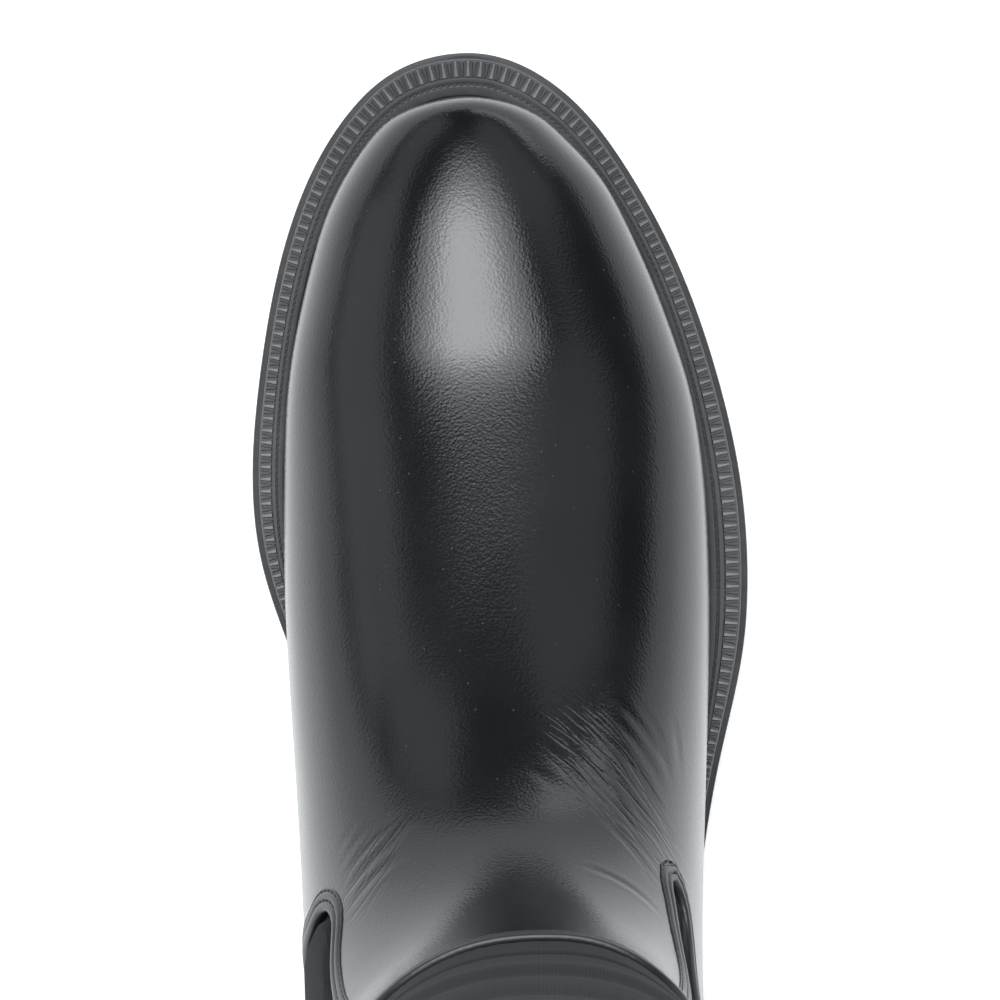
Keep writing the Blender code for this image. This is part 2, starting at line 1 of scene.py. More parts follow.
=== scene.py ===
"""Looks of a tall pull-on boot for the right foot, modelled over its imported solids.

The frame is the solids' own: +Y to the toe, +X to the outer (little toe) side and +Z up, with the origin
on the floor under the middle of the sole. Tables and sizes are in millimetres and meshes in metres. A
station is a distance measured back from the sole's toe tip.
"""

import logging
import math
from contextlib import contextmanager
from dataclasses import dataclass
from enum import Enum
from typing import Callable, Dict, Iterator, List, NamedTuple, Optional, Sequence, Tuple, Union

import bpy
import numpy as np
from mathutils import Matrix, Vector
from mathutils.bvhtree import BVHTree


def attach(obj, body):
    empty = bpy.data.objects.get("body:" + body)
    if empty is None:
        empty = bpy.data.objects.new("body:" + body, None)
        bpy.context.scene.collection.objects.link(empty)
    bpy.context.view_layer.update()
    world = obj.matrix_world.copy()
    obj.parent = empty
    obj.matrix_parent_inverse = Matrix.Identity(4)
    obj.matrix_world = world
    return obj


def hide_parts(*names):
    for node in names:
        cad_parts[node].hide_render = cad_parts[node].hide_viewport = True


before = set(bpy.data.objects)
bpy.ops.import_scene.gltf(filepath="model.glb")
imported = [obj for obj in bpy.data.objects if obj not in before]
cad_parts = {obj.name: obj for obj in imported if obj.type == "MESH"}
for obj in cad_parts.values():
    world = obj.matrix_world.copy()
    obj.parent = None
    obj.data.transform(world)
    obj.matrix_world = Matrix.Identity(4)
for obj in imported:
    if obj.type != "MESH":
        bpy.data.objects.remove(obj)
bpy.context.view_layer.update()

LOG = logging.getLogger("boot")
BODY = "root"
MM = 0.001
TAU = 2.0 * math.pi
MERGE_DISTANCE = 2e-6
FEATHER_STEPS = 400

Curve = Callable[[np.ndarray], np.ndarray]
Color = Tuple[float, float, float]


class Side(Enum):
    """The two sides of the foot, by the names of their table columns."""

    INNER = "inner"
    OUTER = "outer"


class Shape(Enum):
    """The shapes of the studio's soft lights."""

    OBLONG = "RECTANGLE"
    ROUND = "ELLIPSE"


class Slot(Enum):
    """The material slots of the boot's record."""

    OUTSOLE = "outsole_rubber"
    WELT = "welt_rubber"
    INSOLE = "insole_board"
    LEATHER = "upper_leather"
    BINDING = "binding_leather"
    FABRIC = "shaft_fabric"


class SoleRow(NamedTuple):
    """Plan of the sole: x of both edges, and how far the leather's foot stands in from each."""

    station: float
    inner: float
    outer: float
    inner_margin: float
    outer_margin: float


class LineRow(NamedTuple):
    """A point of a side profile."""

    station: float
    height: float


class LastRow(NamedTuple):
    """A section of the last, crown to keel; fullness 1 is an ellipse over the belly, less is squarer."""

    crown_station: float
    crown: float
    keel_station: float
    keel: float
    inner: float
    outer: float
    ridge: float
    seam: float
    belly: float
    fullness: float


class TopRow(NamedTuple):
    """A point of the leather's top line, in the side view of each side."""

    inner_station: float
    inner_height: float
    outer_station: float
    outer_height: float


class FoldRow(NamedTuple):
    """A soft ring round the leg."""

    height: float
    depth: float
    width: float


class CreaseRow(NamedTuple):
    """A crease of the leather in plan, from one end to the other, with its bow to the side."""

    from_x: float
    from_station: float
    to_x: float
    to_station: float
    bow: float
    depth: float
    width: float


class SpanRow(NamedTuple):
    """How many steps a mesh takes between two rows of the last."""

    first: float
    last: float
    steps: int


SOLE_LENGTH = 280.0
SOLE_PLAN = [
    SoleRow(0.0, -6.5, -6.5, 10.4, 10.4),
    SoleRow(4.3, -22.4, 8.0, 10.0, 10.0),
    SoleRow(11.6, -30.6, 17.1, 9.3, 9.1),
    SoleRow(24.0, -38.6, 26.5, 8.1, 8.0),
    SoleRow(42.0, -45.1, 36.3, 7.5, 7.6),
    SoleRow(66.7, -49.6, 45.1, 7.5, 8.3),
    SoleRow(86.0, -51.0, 49.4, 7.9, 9.2),
    SoleRow(105.0, -48.9, 51.0, 6.9, 9.6),
    SoleRow(122.0, -43.2, 50.0, 5.2, 8.8),
    SoleRow(145.0, -35.6, 45.0, 4.6, 5.9),
    SoleRow(170.0, -32.4, 40.8, 4.5, 4.8),
    SoleRow(203.0, -31.9, 37.6, 4.5, 4.6),
    SoleRow(235.0, -32.7, 36.2, 4.6, 4.6),
    SoleRow(258.0, -30.4, 33.9, 4.7, 4.7),
    SoleRow(272.0, -20.3, 23.8, 4.8, 4.8),
    SoleRow(SOLE_LENGTH, 1.75, 1.75, 4.8, 4.8),
]
SEAT_LINE = [
    LineRow(0.0, 26.0),
    LineRow(25.0, 20.8),
    LineRow(50.0, 17.6),
    LineRow(80.0, 16.0),
    LineRow(110.0, 16.4),
    LineRow(140.0, 19.2),
    LineRow(170.0, 24.2),
    LineRow(200.0, 29.4),
    LineRow(230.0, 33.0),
    LineRow(258.0, 34.3),
    LineRow(SOLE_LENGTH, 34.6),
]
HEEL_BREAST = 207.0
BREAST_SLOPE = 2.0
TREAD_LINE = [
    LineRow(0.0, 9.5),
    LineRow(12.0, 5.4),
    LineRow(27.0, 2.0),
    LineRow(46.0, 0.0),
    LineRow(130.0, 0.0),
    LineRow(150.0, 4.2),
    LineRow(175.0, 11.0),
    LineRow(HEEL_BREAST, 14.5),
    LineRow(HEEL_BREAST + BREAST_SLOPE, 0.0),
    LineRow(268.0, 0.0),
    LineRow(SOLE_LENGTH, 3.0),
]
ON_SEAT = 0.0
HEEL_ROW = 18
LAST_ROWS = [
    LastRow(10.2, 38.5, 10.4, ON_SEAT, -6.0, -6.0, -6.0, -6.0, 0.30, 1.00),
    LastRow(10.8, 46.2, 11.4, ON_SEAT, -14.0, 1.6, -6.0, -6.0, 0.30, 1.00),
    LastRow(13.4, 51.6, 14.4, ON_SEAT, -21.6, 8.4, -6.0, -6.0, 0.30, 0.98),
    LastRow(18.8, 54.8, 19.4, ON_SEAT, -26.9, 14.2, -6.0, -6.0, 0.30, 0.96),
    LastRow(26.4, 57.3, 26.4, ON_SEAT, -31.6, 20.5, -6.0, -6.0, 0.30, 0.95),
    LastRow(35.4, 59.4, 35.4, ON_SEAT, -35.7, 25.6, -5.8, -5.8, 0.29, 0.94),
    LastRow(46.2, 61.0, 46.4, ON_SEAT, -38.8, 30.6, -5.3, -5.0, 0.28, 0.93),
    LastRow(57.2, 62.4, 59.4, ON_SEAT, -41.5, 35.3, -4.4, -3.8, 0.27, 0.92),
    LastRow(67.8, 64.6, 74.4, ON_SEAT, -43.2, 39.2, -3.1, -2.4, 0.26, 0.91),
    LastRow(86.2, 71.2, 91.6, ON_SEAT, -43.6, 41.5, -1.6, -1.0, 0.26, 0.91),
    LastRow(107.6, 80.3, 112.0, ON_SEAT, -43.2, 42.1, 0.2, 0.0, 0.28, 0.90),
    LastRow(126.5, 89.9, 136.0, ON_SEAT, -41.7, 41.5, 2.4, 0.0, 0.31, 0.89),
    LastRow(141.0, 100.2, 162.0, ON_SEAT, -39.9, 40.5, 4.6, 0.0, 0.35, 0.87),
    LastRow(151.5, 110.8, 190.0, ON_SEAT, -38.4, 39.6, 6.2, 0.5, 0.39, 0.86),
    LastRow(158.2, 120.8, 217.0, ON_SEAT, -37.4, 39.4, 7.3, 1.0, 0.42, 0.85),
    LastRow(162.6, 129.8, 240.0, ON_SEAT, -36.7, 39.8, 8.0, 1.5, 0.45, 0.84),
    LastRow(165.4, 138.4, 258.0, ON_SEAT, -36.1, 40.7, 8.4, 1.7, 0.47, 0.84),
    LastRow(167.2, 147.0, 270.5, ON_SEAT, -35.5, 41.8, 8.6, 1.75, 0.48, 0.84),
    LastRow(168.4, 156.5, 275.2, ON_SEAT, -35.0, 42.9, 8.6, 1.75, 0.49, 0.84),
    LastRow(169.2, 168.5, 276.6, 62.0, -34.6, 44.0, 8.5, 2.2, 0.50, 0.84),
    LastRow(169.5, 183.0, 273.6, 93.0, -34.3, 44.9, 8.3, 3.2, 0.50, 0.84),
    LastRow(169.5, 200.5, 269.8, 127.0, -34.3, 45.7, 8.1, 4.2, 0.50, 0.85),
    LastRow(169.1, 222.0, 267.4, 164.0, -34.6, 46.4, 7.8, 5.0, 0.50, 0.87),
    LastRow(168.4, 250.0, 266.8, 207.0, -35.4, 47.2, 7.3, 5.6, 0.50, 0.90),
    LastRow(167.2, 287.0, 268.2, 260.0, -36.6, 48.2, 6.7, 5.8, 0.50, 0.93),
    LastRow(166.0, 337.0, 270.8, 325.0, -37.8, 49.4, 6.1, 5.8, 0.50, 0.95),
    LastRow(165.4, 395.0, 272.6, 395.0, -38.4, 50.0, 5.8, 5.8, 0.50, 0.96),
]
TOP_LINE = [
    TopRow(150.0, 155.0, 150.0, 155.0),
    TopRow(168.0, 155.0, 168.0, 155.0),
    TopRow(177.0, 154.4, 173.5, 154.2),
    TopRow(183.6, 150.4, 179.3, 150.2),
    TopRow(186.8, 143.0, 182.2, 143.0),
    TopRow(187.4, 132.0, 183.0, 132.0),
    TopRow(186.6, 121.0, 181.8, 121.5),
    TopRow(183.6, 113.0, 178.2, 114.2),
    TopRow(179.4, 106.6, 172.4, 108.6),
    TopRow(174.6, 102.4, 167.2, 104.2),
    TopRow(170.6, 99.2, 163.4, 101.4),
    TopRow(168.9, 94.4, 162.6, 99.4),
    TopRow(169.9, 89.6, 164.4, 98.0),
    TopRow(173.0, 85.0, 168.6, 97.6),
    TopRow(176.6, 77.5, 173.2, 99.4),
    TopRow(180.4, 69.0, 178.0, 103.4),
    TopRow(186.6, 61.6, 183.6, 109.2),
    TopRow(194.2, 61.0, 189.6, 116.4),
    TopRow(200.6, 69.5, 195.8, 124.4),
    TopRow(205.6, 85.0, 202.0, 132.4),
    TopRow(210.4, 105.0, 208.6, 140.0),
    TopRow(215.4, 126.0, 216.0, 146.4),
    TopRow(222.6, 143.5, 225.8, 151.0),
    TopRow(238.0, 152.0, 240.0, 153.4),
    TopRow(258.0, 154.6, 258.0, 154.6),
    TopRow(285.0, 155.0, 285.0, 155.0),
]
SHAFT_FOOT = [(100.0, 100.0), (128.0, 84.0), (146.0, 60.0), (160.0, 45.0), (300.0, 45.0)]


def natural_spline(knots: Sequence[float], values: Sequence[float]) -> Curve:
    """A smooth curve through one column of a table, with continuous curvature.

    Args:
        knots: places of the column's values.
        values: the column's values.

    Returns:
        A function that gives the curve's value at any place.
    """
    knots = np.asarray(knots, float)
    values = np.asarray(values, float)
    gaps = np.diff(knots)
    slopes = np.diff(values) / gaps
    count = len(knots)
    system = np.eye(count)
    right = np.zeros(count)
    for i in range(1, count - 1):
        system[i, i - 1:i + 2] = gaps[i - 1], 2.0 * (gaps[i - 1] + gaps[i]), gaps[i]
        right[i] = 6.0 * (slopes[i] - slopes[i - 1])
    bends = np.linalg.solve(system, right)

    def at(position: np.ndarray) -> np.ndarray:
        """The curve's value at a place."""
        i = np.clip(np.searchsorted(knots, position, side="right") - 1, 0, count - 2)
        gap = gaps[i]
        after = (knots[i + 1] - position) / gap
        before = 1.0 - after
        curve = (after ** 3 - after) * bends[i] + (before ** 3 - before) * bends[i + 1]
        return after * values[i] + before * values[i + 1] + curve * gap * gap / 6.0

    return at


def monotone_spline(knots: Sequence[float], values: Sequence[float]) -> Curve:
    """A smooth curve through one column that never swings past its rows.

    Args:
        knots: places of the column's values.
        values: the column's values.

    Returns:
        A function that gives the curve's value at any place.
    """
    knots = np.asarray(knots, float)
    values = np.asarray(values, float)
    gaps = np.diff(knots)
    slopes = np.diff(values) / gaps
    tangents = np.zeros(len(knots))
    tangents[0], tangents[-1] = slopes[0], slopes[-1]
    for i in range(1, len(knots) - 1):
        if slopes[i - 1] * slopes[i] > 0.0:
            tangents[i] = 2.0 / (1.0 / slopes[i - 1] + 1.0 / slopes[i])

    def at(position: np.ndarray) -> np.ndarray:
        """The curve's value at a place."""
        i = np.clip(np.searchsorted(knots, position, side="right") - 1, 0, len(knots) - 2)
        gap = gaps[i]
        f = (position - knots[i]) / gap
        swing = f * (1.0 - f) ** 2 * tangents[i] + f * f * (f - 1.0) * tangents[i + 1]
        return values[i] + f * f * (3.0 - 2.0 * f) * (values[i + 1] - values[i]) + gap * swing

    return at


def turn_of(station: np.ndarray, start: float = 0.0, end: float = SOLE_LENGTH) -> np.ndarray:
    """The angle of a station on the half turn from toe tip to heel, in which round ends are smooth.

    Args:
        station: one station or many.
        start: station of the toe end.
        end: station of the heel end.

    Returns:
        Angles from 0 at the toe to pi at the heel.
    """
    return np.arccos(np.clip(1.0 - 2.0 * (station - start) / (end - start), -1.0, 1.0))


def upright(points: np.ndarray) -> np.ndarray:
    """Points (x, station, height) as boot coordinates (x, y, z), still in millimetres."""
    return np.stack([points[..., 0], SOLE_LENGTH / 2.0 - points[..., 1], points[..., 2]], -1)


def unit(vectors: np.ndarray) -> np.ndarray:
    """Vectors brought to length 1."""
    return vectors / np.maximum(np.linalg.norm(vectors, axis=-1, keepdims=True), 1e-12)


def swell(distance: np.ndarray, width: float) -> np.ndarray:
    """A soft round hump of height 1 that falls off within about its width."""
    return np.exp(-(distance / width) ** 2)


def smooth_rise(value: np.ndarray, low: float, high: float) -> np.ndarray:
    """A soft step from 0 at low to 1 at high."""
    f = np.clip((value - low) / (high - low), 0.0, 1.0)
    return f * f * (3.0 - 2.0 * f)


class SolePlan:
    """The sole's outline and side profile, which every piece of the foot follows."""

    def __init__(self) -> None:
        """Fit smooth curves through the tables."""
        turns = [turn_of(row.station) for row in SOLE_PLAN]
        self.columns = {name: natural_spline(turns, [getattr(row, name) for row in SOLE_PLAN])
                        for name in SoleRow._fields[1:]}
        self.seat = natural_spline(*zip(*SEAT_LINE))
        self.tread = monotone_spline(*zip(*TREAD_LINE))
        half = np.linspace(0.0, np.pi, FEATHER_STEPS)
        self.feathers = {}
        for side, loop in ((Side.INNER, half), (Side.OUTER, TAU - half)):
            self.feathers[side] = self.edge(loop, self.margin(loop))

    def column(self, loop: np.ndarray, ending: str = "") -> np.ndarray:
        """A pair of the plan's columns, read round the loop of toe, inner side, heel and outer side.

        Args:
            loop: angles round the sole, from 0 at the toe to a full turn.
            ending: "" for the edges or "_margin" for the leather's margins.

        Returns:
            The column's value at each angle.
        """
        loop = np.mod(loop, TAU)
        turn = np.minimum(loop, TAU - loop)
        inner, outer = (self.columns[side.value + ending](turn) for side in Side)
        return np.where(loop <= np.pi, inner, outer)

    def rim(self, loop: np.ndarray) -> np.ndarray:
        """Points (x, station) of the sole's edge."""
        return np.stack([self.column(loop), SOLE_LENGTH * (1.0 - np.cos(loop)) / 2.0], -1)

    def margin(self, loop: np.ndarray) -> np.ndarray:
        """How far the leather's foot stands in from the sole's edge."""
        return self.column(loop, "_margin")

    def inward(self, loop: np.ndarray) -> np.ndarray:
        """Directions (x, station) that point in from the sole's edge."""
        step = 1e-4
        along = unit(self.rim(loop + step) - self.rim(loop - step))
        return np.stack([along[..., 1], -along[..., 0]], -1)

    def edge(self, loop: np.ndarray, inset: Union[float, np.ndarray]) -> np.ndarray:
        """Points (x, station) that lie a distance inside the sole's edge.

        Args:
            loop: angles round the sole.
            inset: the distance, one for all or one for each angle.

        Returns:
            An array of points.
        """
        return self.rim(loop) + np.asarray(inset)[..., None] * self.inward(loop)

    def feather(self, side: Side, station: float) -> float:
        """x of the leather's foot line on one side at a station."""
        line = self.feathers[side]
        start, end = line[0, 1], line[-1, 1]
        return float(np.interp(turn_of(station, start, end), turn_of(line[:, 1], start, end), line[:, 0]))


@dataclass
class Last:
    """The last and leg: a fan of sections that swings from upright at the toe to level at the hem."""

    plan: SolePlan
    skirt_height: float = 4.8
    seat_gap: float = 0.3
    full_foot: float = 0.9999
    skirt_steps: int = 3

    def __post_init__(self) -> None:
        """Fit smooth curves through the table's columns."""
        numbers = np.arange(len(LAST_ROWS))
        smooth = ("crown_station", "crown", "inner", "outer", "ridge", "seam", "belly", "fullness")
        self.column = {name: natural_spline(numbers, [getattr(row, name) for row in LAST_ROWS])
                       for name in smooth}
        self.keel_station = monotone_spline(numbers, [row.keel_station for row in LAST_ROWS])
        back = [row.keel or self.plan.seat(row.keel_station) + self.skirt_height
                for row in LAST_ROWS[HEEL_ROW:]]
        self.back_height = monotone_spline(numbers[HEEL_ROW:], back)

    def crown(self, row: np.ndarray) -> np.ndarray:
        """The crown point (station, height) of a row."""
        return np.stack([self.column["crown_station"](row), self.column["crown"](row)], -1)

    def keel(self, row: np.ndarray) -> np.ndarray:
        """The keel point (station, height) of a row."""
        station = self.keel_station(row)
        on_seat = self.plan.seat(station) + self.skirt_height
        up_back = self.back_height(np.maximum(row, HEEL_ROW))
        return np.stack([station, np.where(np.asarray(row) <= HEEL_ROW, on_seat, up_back)], -1)

    def foot_angle(self, side: Side, row: float) -> float:
        """The angle at which a section's lower ellipse starts, so that it meets the foot line."""
        seam = self.column["seam"](row)
        reach = self.column[side.value](row) - seam
        if row > HEEL_ROW or abs(reach) < 1e-9:
            return 0.0
        foot = self.plan.feather(side, float(self.keel_station(row)))
        return float(np.arcsin(np.clip((foot - seam) / reach, 0.0, self.full_foot)))

    def half(self, side: Side, row: float, share: np.ndarray) -> np.ndarray:
        """Points of one half of a section.

        Args:
            side: which half.
            row: the section's row, which need not be whole.
            share: 0 at the keel, 1 at the widest place, 2 at the crown.

        Returns:
            Points (x, station, height).
        """
        ridge, seam, belly, fullness = (self.column[name](row)
                                        for name in ("ridge", "seam", "belly", "fullness"))
        widest = self.column[side.value](row)
        start = self.foot_angle(side, row)
        low = start + np.clip(share, 0.0, 1.0) * (np.pi / 2.0 - start)
        high = np.clip(share - 1.0, 0.0, 1.0) * np.pi / 2.0
        x = np.where(share > 1.0, ridge + (widest - ridge) * np.cos(high) ** fullness,
                     seam + (widest - seam) * np.sin(low))
        lift = np.where(share > 1.0, belly + (1.0 - belly) * np.sin(high) ** fullness,
                        belly * (1.0 - np.cos(low) / np.cos(start)))
        crown, keel = self.crown(row), self.keel(row)
        return np.column_stack([x, keel + lift[:, None] * (crown - keel)])

    def share_at(self, side: Side, row: float, lift: float) -> float:
        """The share of a section's half at a given lift between keel and crown."""
        belly = float(self.column["belly"](row))
        start = self.foot_angle(side, row)
        if lift > belly:
            rise = min((lift - belly) / (1.0 - belly), 1.0) ** (1.0 / float(self.column["fullness"](row)))
            return 1.0 + math.asin(rise) / (math.pi / 2.0)
        angle = math.acos(np.clip((1.0 - lift / belly) * math.cos(start), -1.0, 1.0))
        return (angle - start) / (math.pi / 2.0 - start)

    def normal(self, side: Side, row: float, share: float) -> np.ndarray:
        """The outward normal of the surface, in boot coordinates."""
        row_step, share_step = 0.02, 0.01
        spot = np.array([share])
        along = self.half(side, row + row_step, spot) - self.half(side, row - row_step, spot)
        across = self.half(side, row, np.minimum(spot + share_step, 2.0))
        across = across - self.half(side, row, np.maximum(spot - share_step, 0.0))
        normal = unit(np.cross(upright_vector(along[0]), upright_vector(across[0])))
        middle = (self.crown(row) + self.keel(row)) / 2.0
        outward = self.half(side, row, spot)[0] - np.array([self.column["seam"](row), *middle])
        return normal * np.sign(normal @ upright_vector(outward))

    def surface(self, spans: Sequence[SpanRow], lower: int, upper: int) -> np.ndarray:
        """The surface as a net of points, with the short upright skirt at its foot.

        Args:
            spans: how closely the rows are taken along the boot.
            lower: steps from keel to widest place.
            upper: steps from widest place to crown.

        Returns:
            Points (rows, columns, 3) in boot coordinates.
        """
        share = np.concatenate([np.linspace(0.0, 1.0, lower + 1), np.linspace(1.0, 2.0, upper + 1)[1:]])
        net = []
        for row in rows_of(spans):
            inner = self.half(Side.INNER, row, share)
            outer = self.half(Side.OUTER, row, share)[::-1]
            net.append(np.concatenate([self.skirt(inner[0], row), inner, outer[1:],
                                       self.skirt(outer[-1], row)[::-1]]))
        return upright(np.array(net))

    def skirt(self, foot: np.ndarray, row: float) -> np.ndarray:
        """The skirt's points under a keel point, from the seat up; a point alone on the back seam."""
        points = np.repeat(foot[None, :], self.skirt_steps, axis=0)
        if row <= HEEL_ROW:
            seat = self.plan.seat(foot[1]) + self.seat_gap
            points[:, 2] = np.linspace(seat, foot[2], self.skirt_steps, endpoint=False)
        return points


def upright_vector(vector: np.ndarray) -> np.ndarray:
    """A direction (x, station, height) as a direction (x, y, z)."""
    return np.array([vector[0], -vector[1], vector[2]])


def rows_of(spans: Sequence[SpanRow]) -> np.ndarray:
    """All rows of the last that a list of spans asks for."""
    rows = [float(spans[0].first)]
    for span in spans:
        rows.extend(np.linspace(span.first, span.last, span.steps + 1)[1:])
    return np.array(rows)


class SideLine:
    """A smooth line through points of the side view."""

    def __init__(self, points: Sequence[Tuple[float, float]]) -> None:
        """Fit the line.

        Args:
            points: (station, height) pairs from front to back.
        """
        corners = np.asarray(points, float)
        lengths = np.linalg.norm(np.diff(corners, axis=0), axis=1)
        knots = np.concatenate([[0.0], np.cumsum(np.sqrt(lengths))])
        self.curves = [natural_spline(knots / knots[-1], corners[:, axis]) for axis in range(2)]

    def at(self, share: np.ndarray) -> np.ndarray:
        """Points (station, height) at shares from 0 to 1 of the line."""
        return np.stack([curve(share) for curve in self.curves], -1)


@dataclass
class SurfaceLoop:
    """A closed line round the last, evenly spaced, with the last's outward normal at each point."""

    points: np.ndarray
    normals: np.ndarray

    def tangents(self) -> np.ndarray:
        """Directions along the line."""
        return unit(np.roll(self.points, -1, axis=0) - np.roll(self.points, 1, axis=0))

    def across(self) -> np.ndarray:
        """Directions in the surface at right angles to the line, downwards where it is highest."""
        sideways = unit(np.cross(self.tangents(), self.normals))
        highest = np.argmax(self.points[:, 2])
        return sideways if sideways[highest, 2] < 0.0 else -sideways

    def length(self) -> float:
        """Length of the line in millimetres."""
        return float(np.linalg.norm(np.roll(self.points, -1, axis=0) - self.points, axis=1).sum())

    def spaced(self, count: int) -> "SurfaceLoop":
        """The same line with another number of evenly spaced points."""
        closed = np.concatenate([self.points, self.points[:1]])
        turned = np.concatenate([self.normals, self.normals[:1]])
        run = np.concatenate([[0.0], np.cumsum(np.linalg.norm(np.diff(closed, axis=0), axis=1))])
        at = np.arange(count) * run[-1] / count
        points, normals = (np.stack([np.interp(at, run, table[:, axis]) for axis in range(3)], -1)
                           for table in (closed, turned))
        return SurfaceLoop(points, unit(normals))


@dataclass
class LoopTracer:
    """Finds where a line of the side view lies on the last, on both sides of the boot."""

    last: Last
    scan: int = 400
    samples: int = 420
    first_row: float = 8.0
    fine_rows: int = 3000

    def __post_init__(self) -> None:
        """Lay out the fan's rows closely."""
        self.rows = np.linspace(self.first_row, len(LAST_ROWS) - 1.0, self.fine_rows)
        self.crowns = self.last.crown(self.rows)
        self.spokes = self.crowns - self.last.keel(self.rows)

    def locate(self, spot: np.ndarray) -> Tuple[float, float]:
        """The row and the lift of a side-view point.

        Args:
            spot: (station, height).

        Returns:
            The row, and the share of the way from keel to crown, which is past 0 or 1 off the last.
        """
        ahead = spot - (self.crowns - self.spokes)
        lean = self.spokes[:, 0] * ahead[:, 1] - self.spokes[:, 1] * ahead[:, 0]
        lifts = (ahead * self.spokes).sum(1) / (self.spokes ** 2).sum(1)
        found = np.nonzero((lean[:-1] * lean[1:] <= 0.0) & (np.abs(lifts[:-1] - 0.5) < 1.5))[0]
        if not len(found):
            return float(self.rows[-1]), 2.0
        i = found[0]
        f = lean[i] / (lean[i] - lean[i + 1]) if lean[i] != lean[i + 1] else 0.0
        return (float(self.rows[i] + f * (self.rows[i + 1] - self.rows[i])),
                float(lifts[i] + f * (lifts[i + 1] - lifts[i])))

    def ends(self, line: SideLine) -> Tuple[float, float]:
        """The shares of a line at which it meets the front line and the back seam."""
        shares = np.linspace(0.0, 1.0, self.scan)
        lifts = np.array([self.locate(spot)[1] for spot in line.at(shares)])
        inside = np.nonzero((lifts <= 1.0) & (lifts >= 0.0))[0]
        first, final = inside[0], inside[-1]
        front = np.interp(1.0, lifts[[first, first - 1]], shares[[first, first - 1]])
        back = np.interp(0.0, lifts[[final + 1, final]], shares[[final + 1, final]])
        return float(front), float(back)

    def trace(self, lines: Dict[Side, SideLine], count: int) -> SurfaceLoop:
        """The closed line round the boot: back along the inner side and forward along the outer.

        Args:
            lines: the side view's line on each side.
            count: number of evenly spaced points.

        Returns:
            The line on the last.
        """
        points, normals = [], []
        for side, line in lines.items():
            front, back = self.ends(line)
            eased = 0.5 - 0.5 * np.cos(np.linspace(0.0, np.pi, self.samples))
            spots = line.at(front + (back - front) * eased)
            half = []
            for spot in spots:
                row, lift = self.locate(spot)
                share = self.last.share_at(side, row, float(np.clip(lift, 0.0, 1.0)))
                point = upright(self.last.half(side, row, np.array([share])))[0]
                half.append((point, self.last.normal(side, row, share)))
            half = half[:-1] if side is Side.INNER else half[:0:-1]
            points += [point for point, _ in half]
            normals += [normal for _, normal in half]
        return SurfaceLoop(np.array(points), np.array(normals)).spaced(count)


def top_line(side: Side) -> SideLine:
    """The leather's top line on one side."""
    return SideLine([(getattr(row, side.value + "_station"), getattr(row, side.value + "_height"))
                     for row in TOP_LINE])


def only(piece: bpy.types.Object) -> None:
    """Select one piece alone and make it the active one."""
    bpy.ops.object.select_all(action="DESELECT")
    piece.select_set(True)
    bpy.context.view_layer.objects.active = piece


@contextmanager
def editing(piece: bpy.types.Object) -> Iterator[None]:
    """Edit mode on one piece, with all of it selected.

    Args:
        piece: the piece to edit.

    Returns:
        A context that ends in object mode.
    """
    only(piece)
    bpy.ops.object.mode_set(mode="EDIT")
    bpy.ops.mesh.select_all(action="SELECT")
    yield
    bpy.ops.object.mode_set(mode="OBJECT")


def named(name: str) -> bpy.types.Object:
    """Name the primitive that was just added, and its mesh."""
    piece = bpy.context.object
    piece.name = name
    piece.data.name = name
    return piece


def points_of(piece: bpy.types.Object) -> np.ndarray:
    """A piece's vertices, in its own units."""
    flat = np.zeros(len(piece.data.vertices) * 3)
    piece.data.vertices.foreach_get("co", flat)
    return flat.reshape(-1, 3)


def move_points(piece: bpy.types.Object, points: np.ndarray) -> None:
    """Put a piece's vertices at new places."""
    piece.data.vertices.foreach_set("co", np.ascontiguousarray(points, float).ravel())
    piece.data.update()


def net_piece(name: str, net: np.ndarray, spread: Optional[np.ndarray] = None) -> bpy.types.Object:
    """A grid primitive laid onto a net of points, with its doubled points merged.

    Args:
        name: name of the piece.
        net: points (rows, columns, 3) in millimetres.
        spread: places (rows, columns, 2) on the flat cloth, in metres, for the piece's UV map.

    Returns:
        The piece, a skin without thickness.
    """
    rows, columns = net.shape[0] - 1, net.shape[1] - 1
    bpy.ops.object.select_all(action="DESELECT")
    bpy.ops.mesh.primitive_grid_add(x_subdivisions=rows, y_subdivisions=columns, size=2.0)
    piece = named(name)
    flat = (points_of(piece)[:, :2] + 1.0) / 2.0
    i = np.rint(flat[:, 0] * rows).astype(int)
    j = np.rint(flat[:, 1] * columns).astype(int)
    move_points(piece, net[i, j] * MM)
    if spread is not None:
        corners = np.zeros(len(piece.data.loops), int)
        piece.data.loops.foreach_get("vertex_index", corners)
        piece.data.uv_layers[0].data.foreach_set("uv", spread[i, j][corners].ravel())
    with editing(piece):
        bpy.ops.mesh.remove_doubles(threshold=MERGE_DISTANCE)
        bpy.ops.mesh.dissolve_degenerate(threshold=MERGE_DISTANCE)
    return piece


def ring_piece(name: str, net: np.ndarray) -> bpy.types.Object:
    """A torus primitive laid onto a closed strip.

    Blender's torus has at most 256 steps along, so of a finer net it takes the nearest points.

    Args:
        name: name of the piece.
        net: points (along, around, 3) in millimetres, closed both ways.

    Returns:
        The piece, a closed solid with its faces turned out.
    """
    along, around = net.shape[:2]
    bpy.ops.object.select_all(action="DESELECT")
    bpy.ops.mesh.primitive_torus_add(major_segments=along, minor_segments=around, major_radius=1.0,
                                     minor_radius=0.25)
    piece = named(name)
    x, y, z = points_of(piece).T
    i = np.rint(np.arctan2(y, x) / TAU * along).astype(int) % along
    j = np.rint(np.arctan2(z, np.hypot(x, y) - 1.0) / TAU * around).astype(int) % around
    move_points(piece, net[i, j] * MM)
    with editing(piece):
        bpy.ops.mesh.normals_make_consistent(inside=False)
    return piece


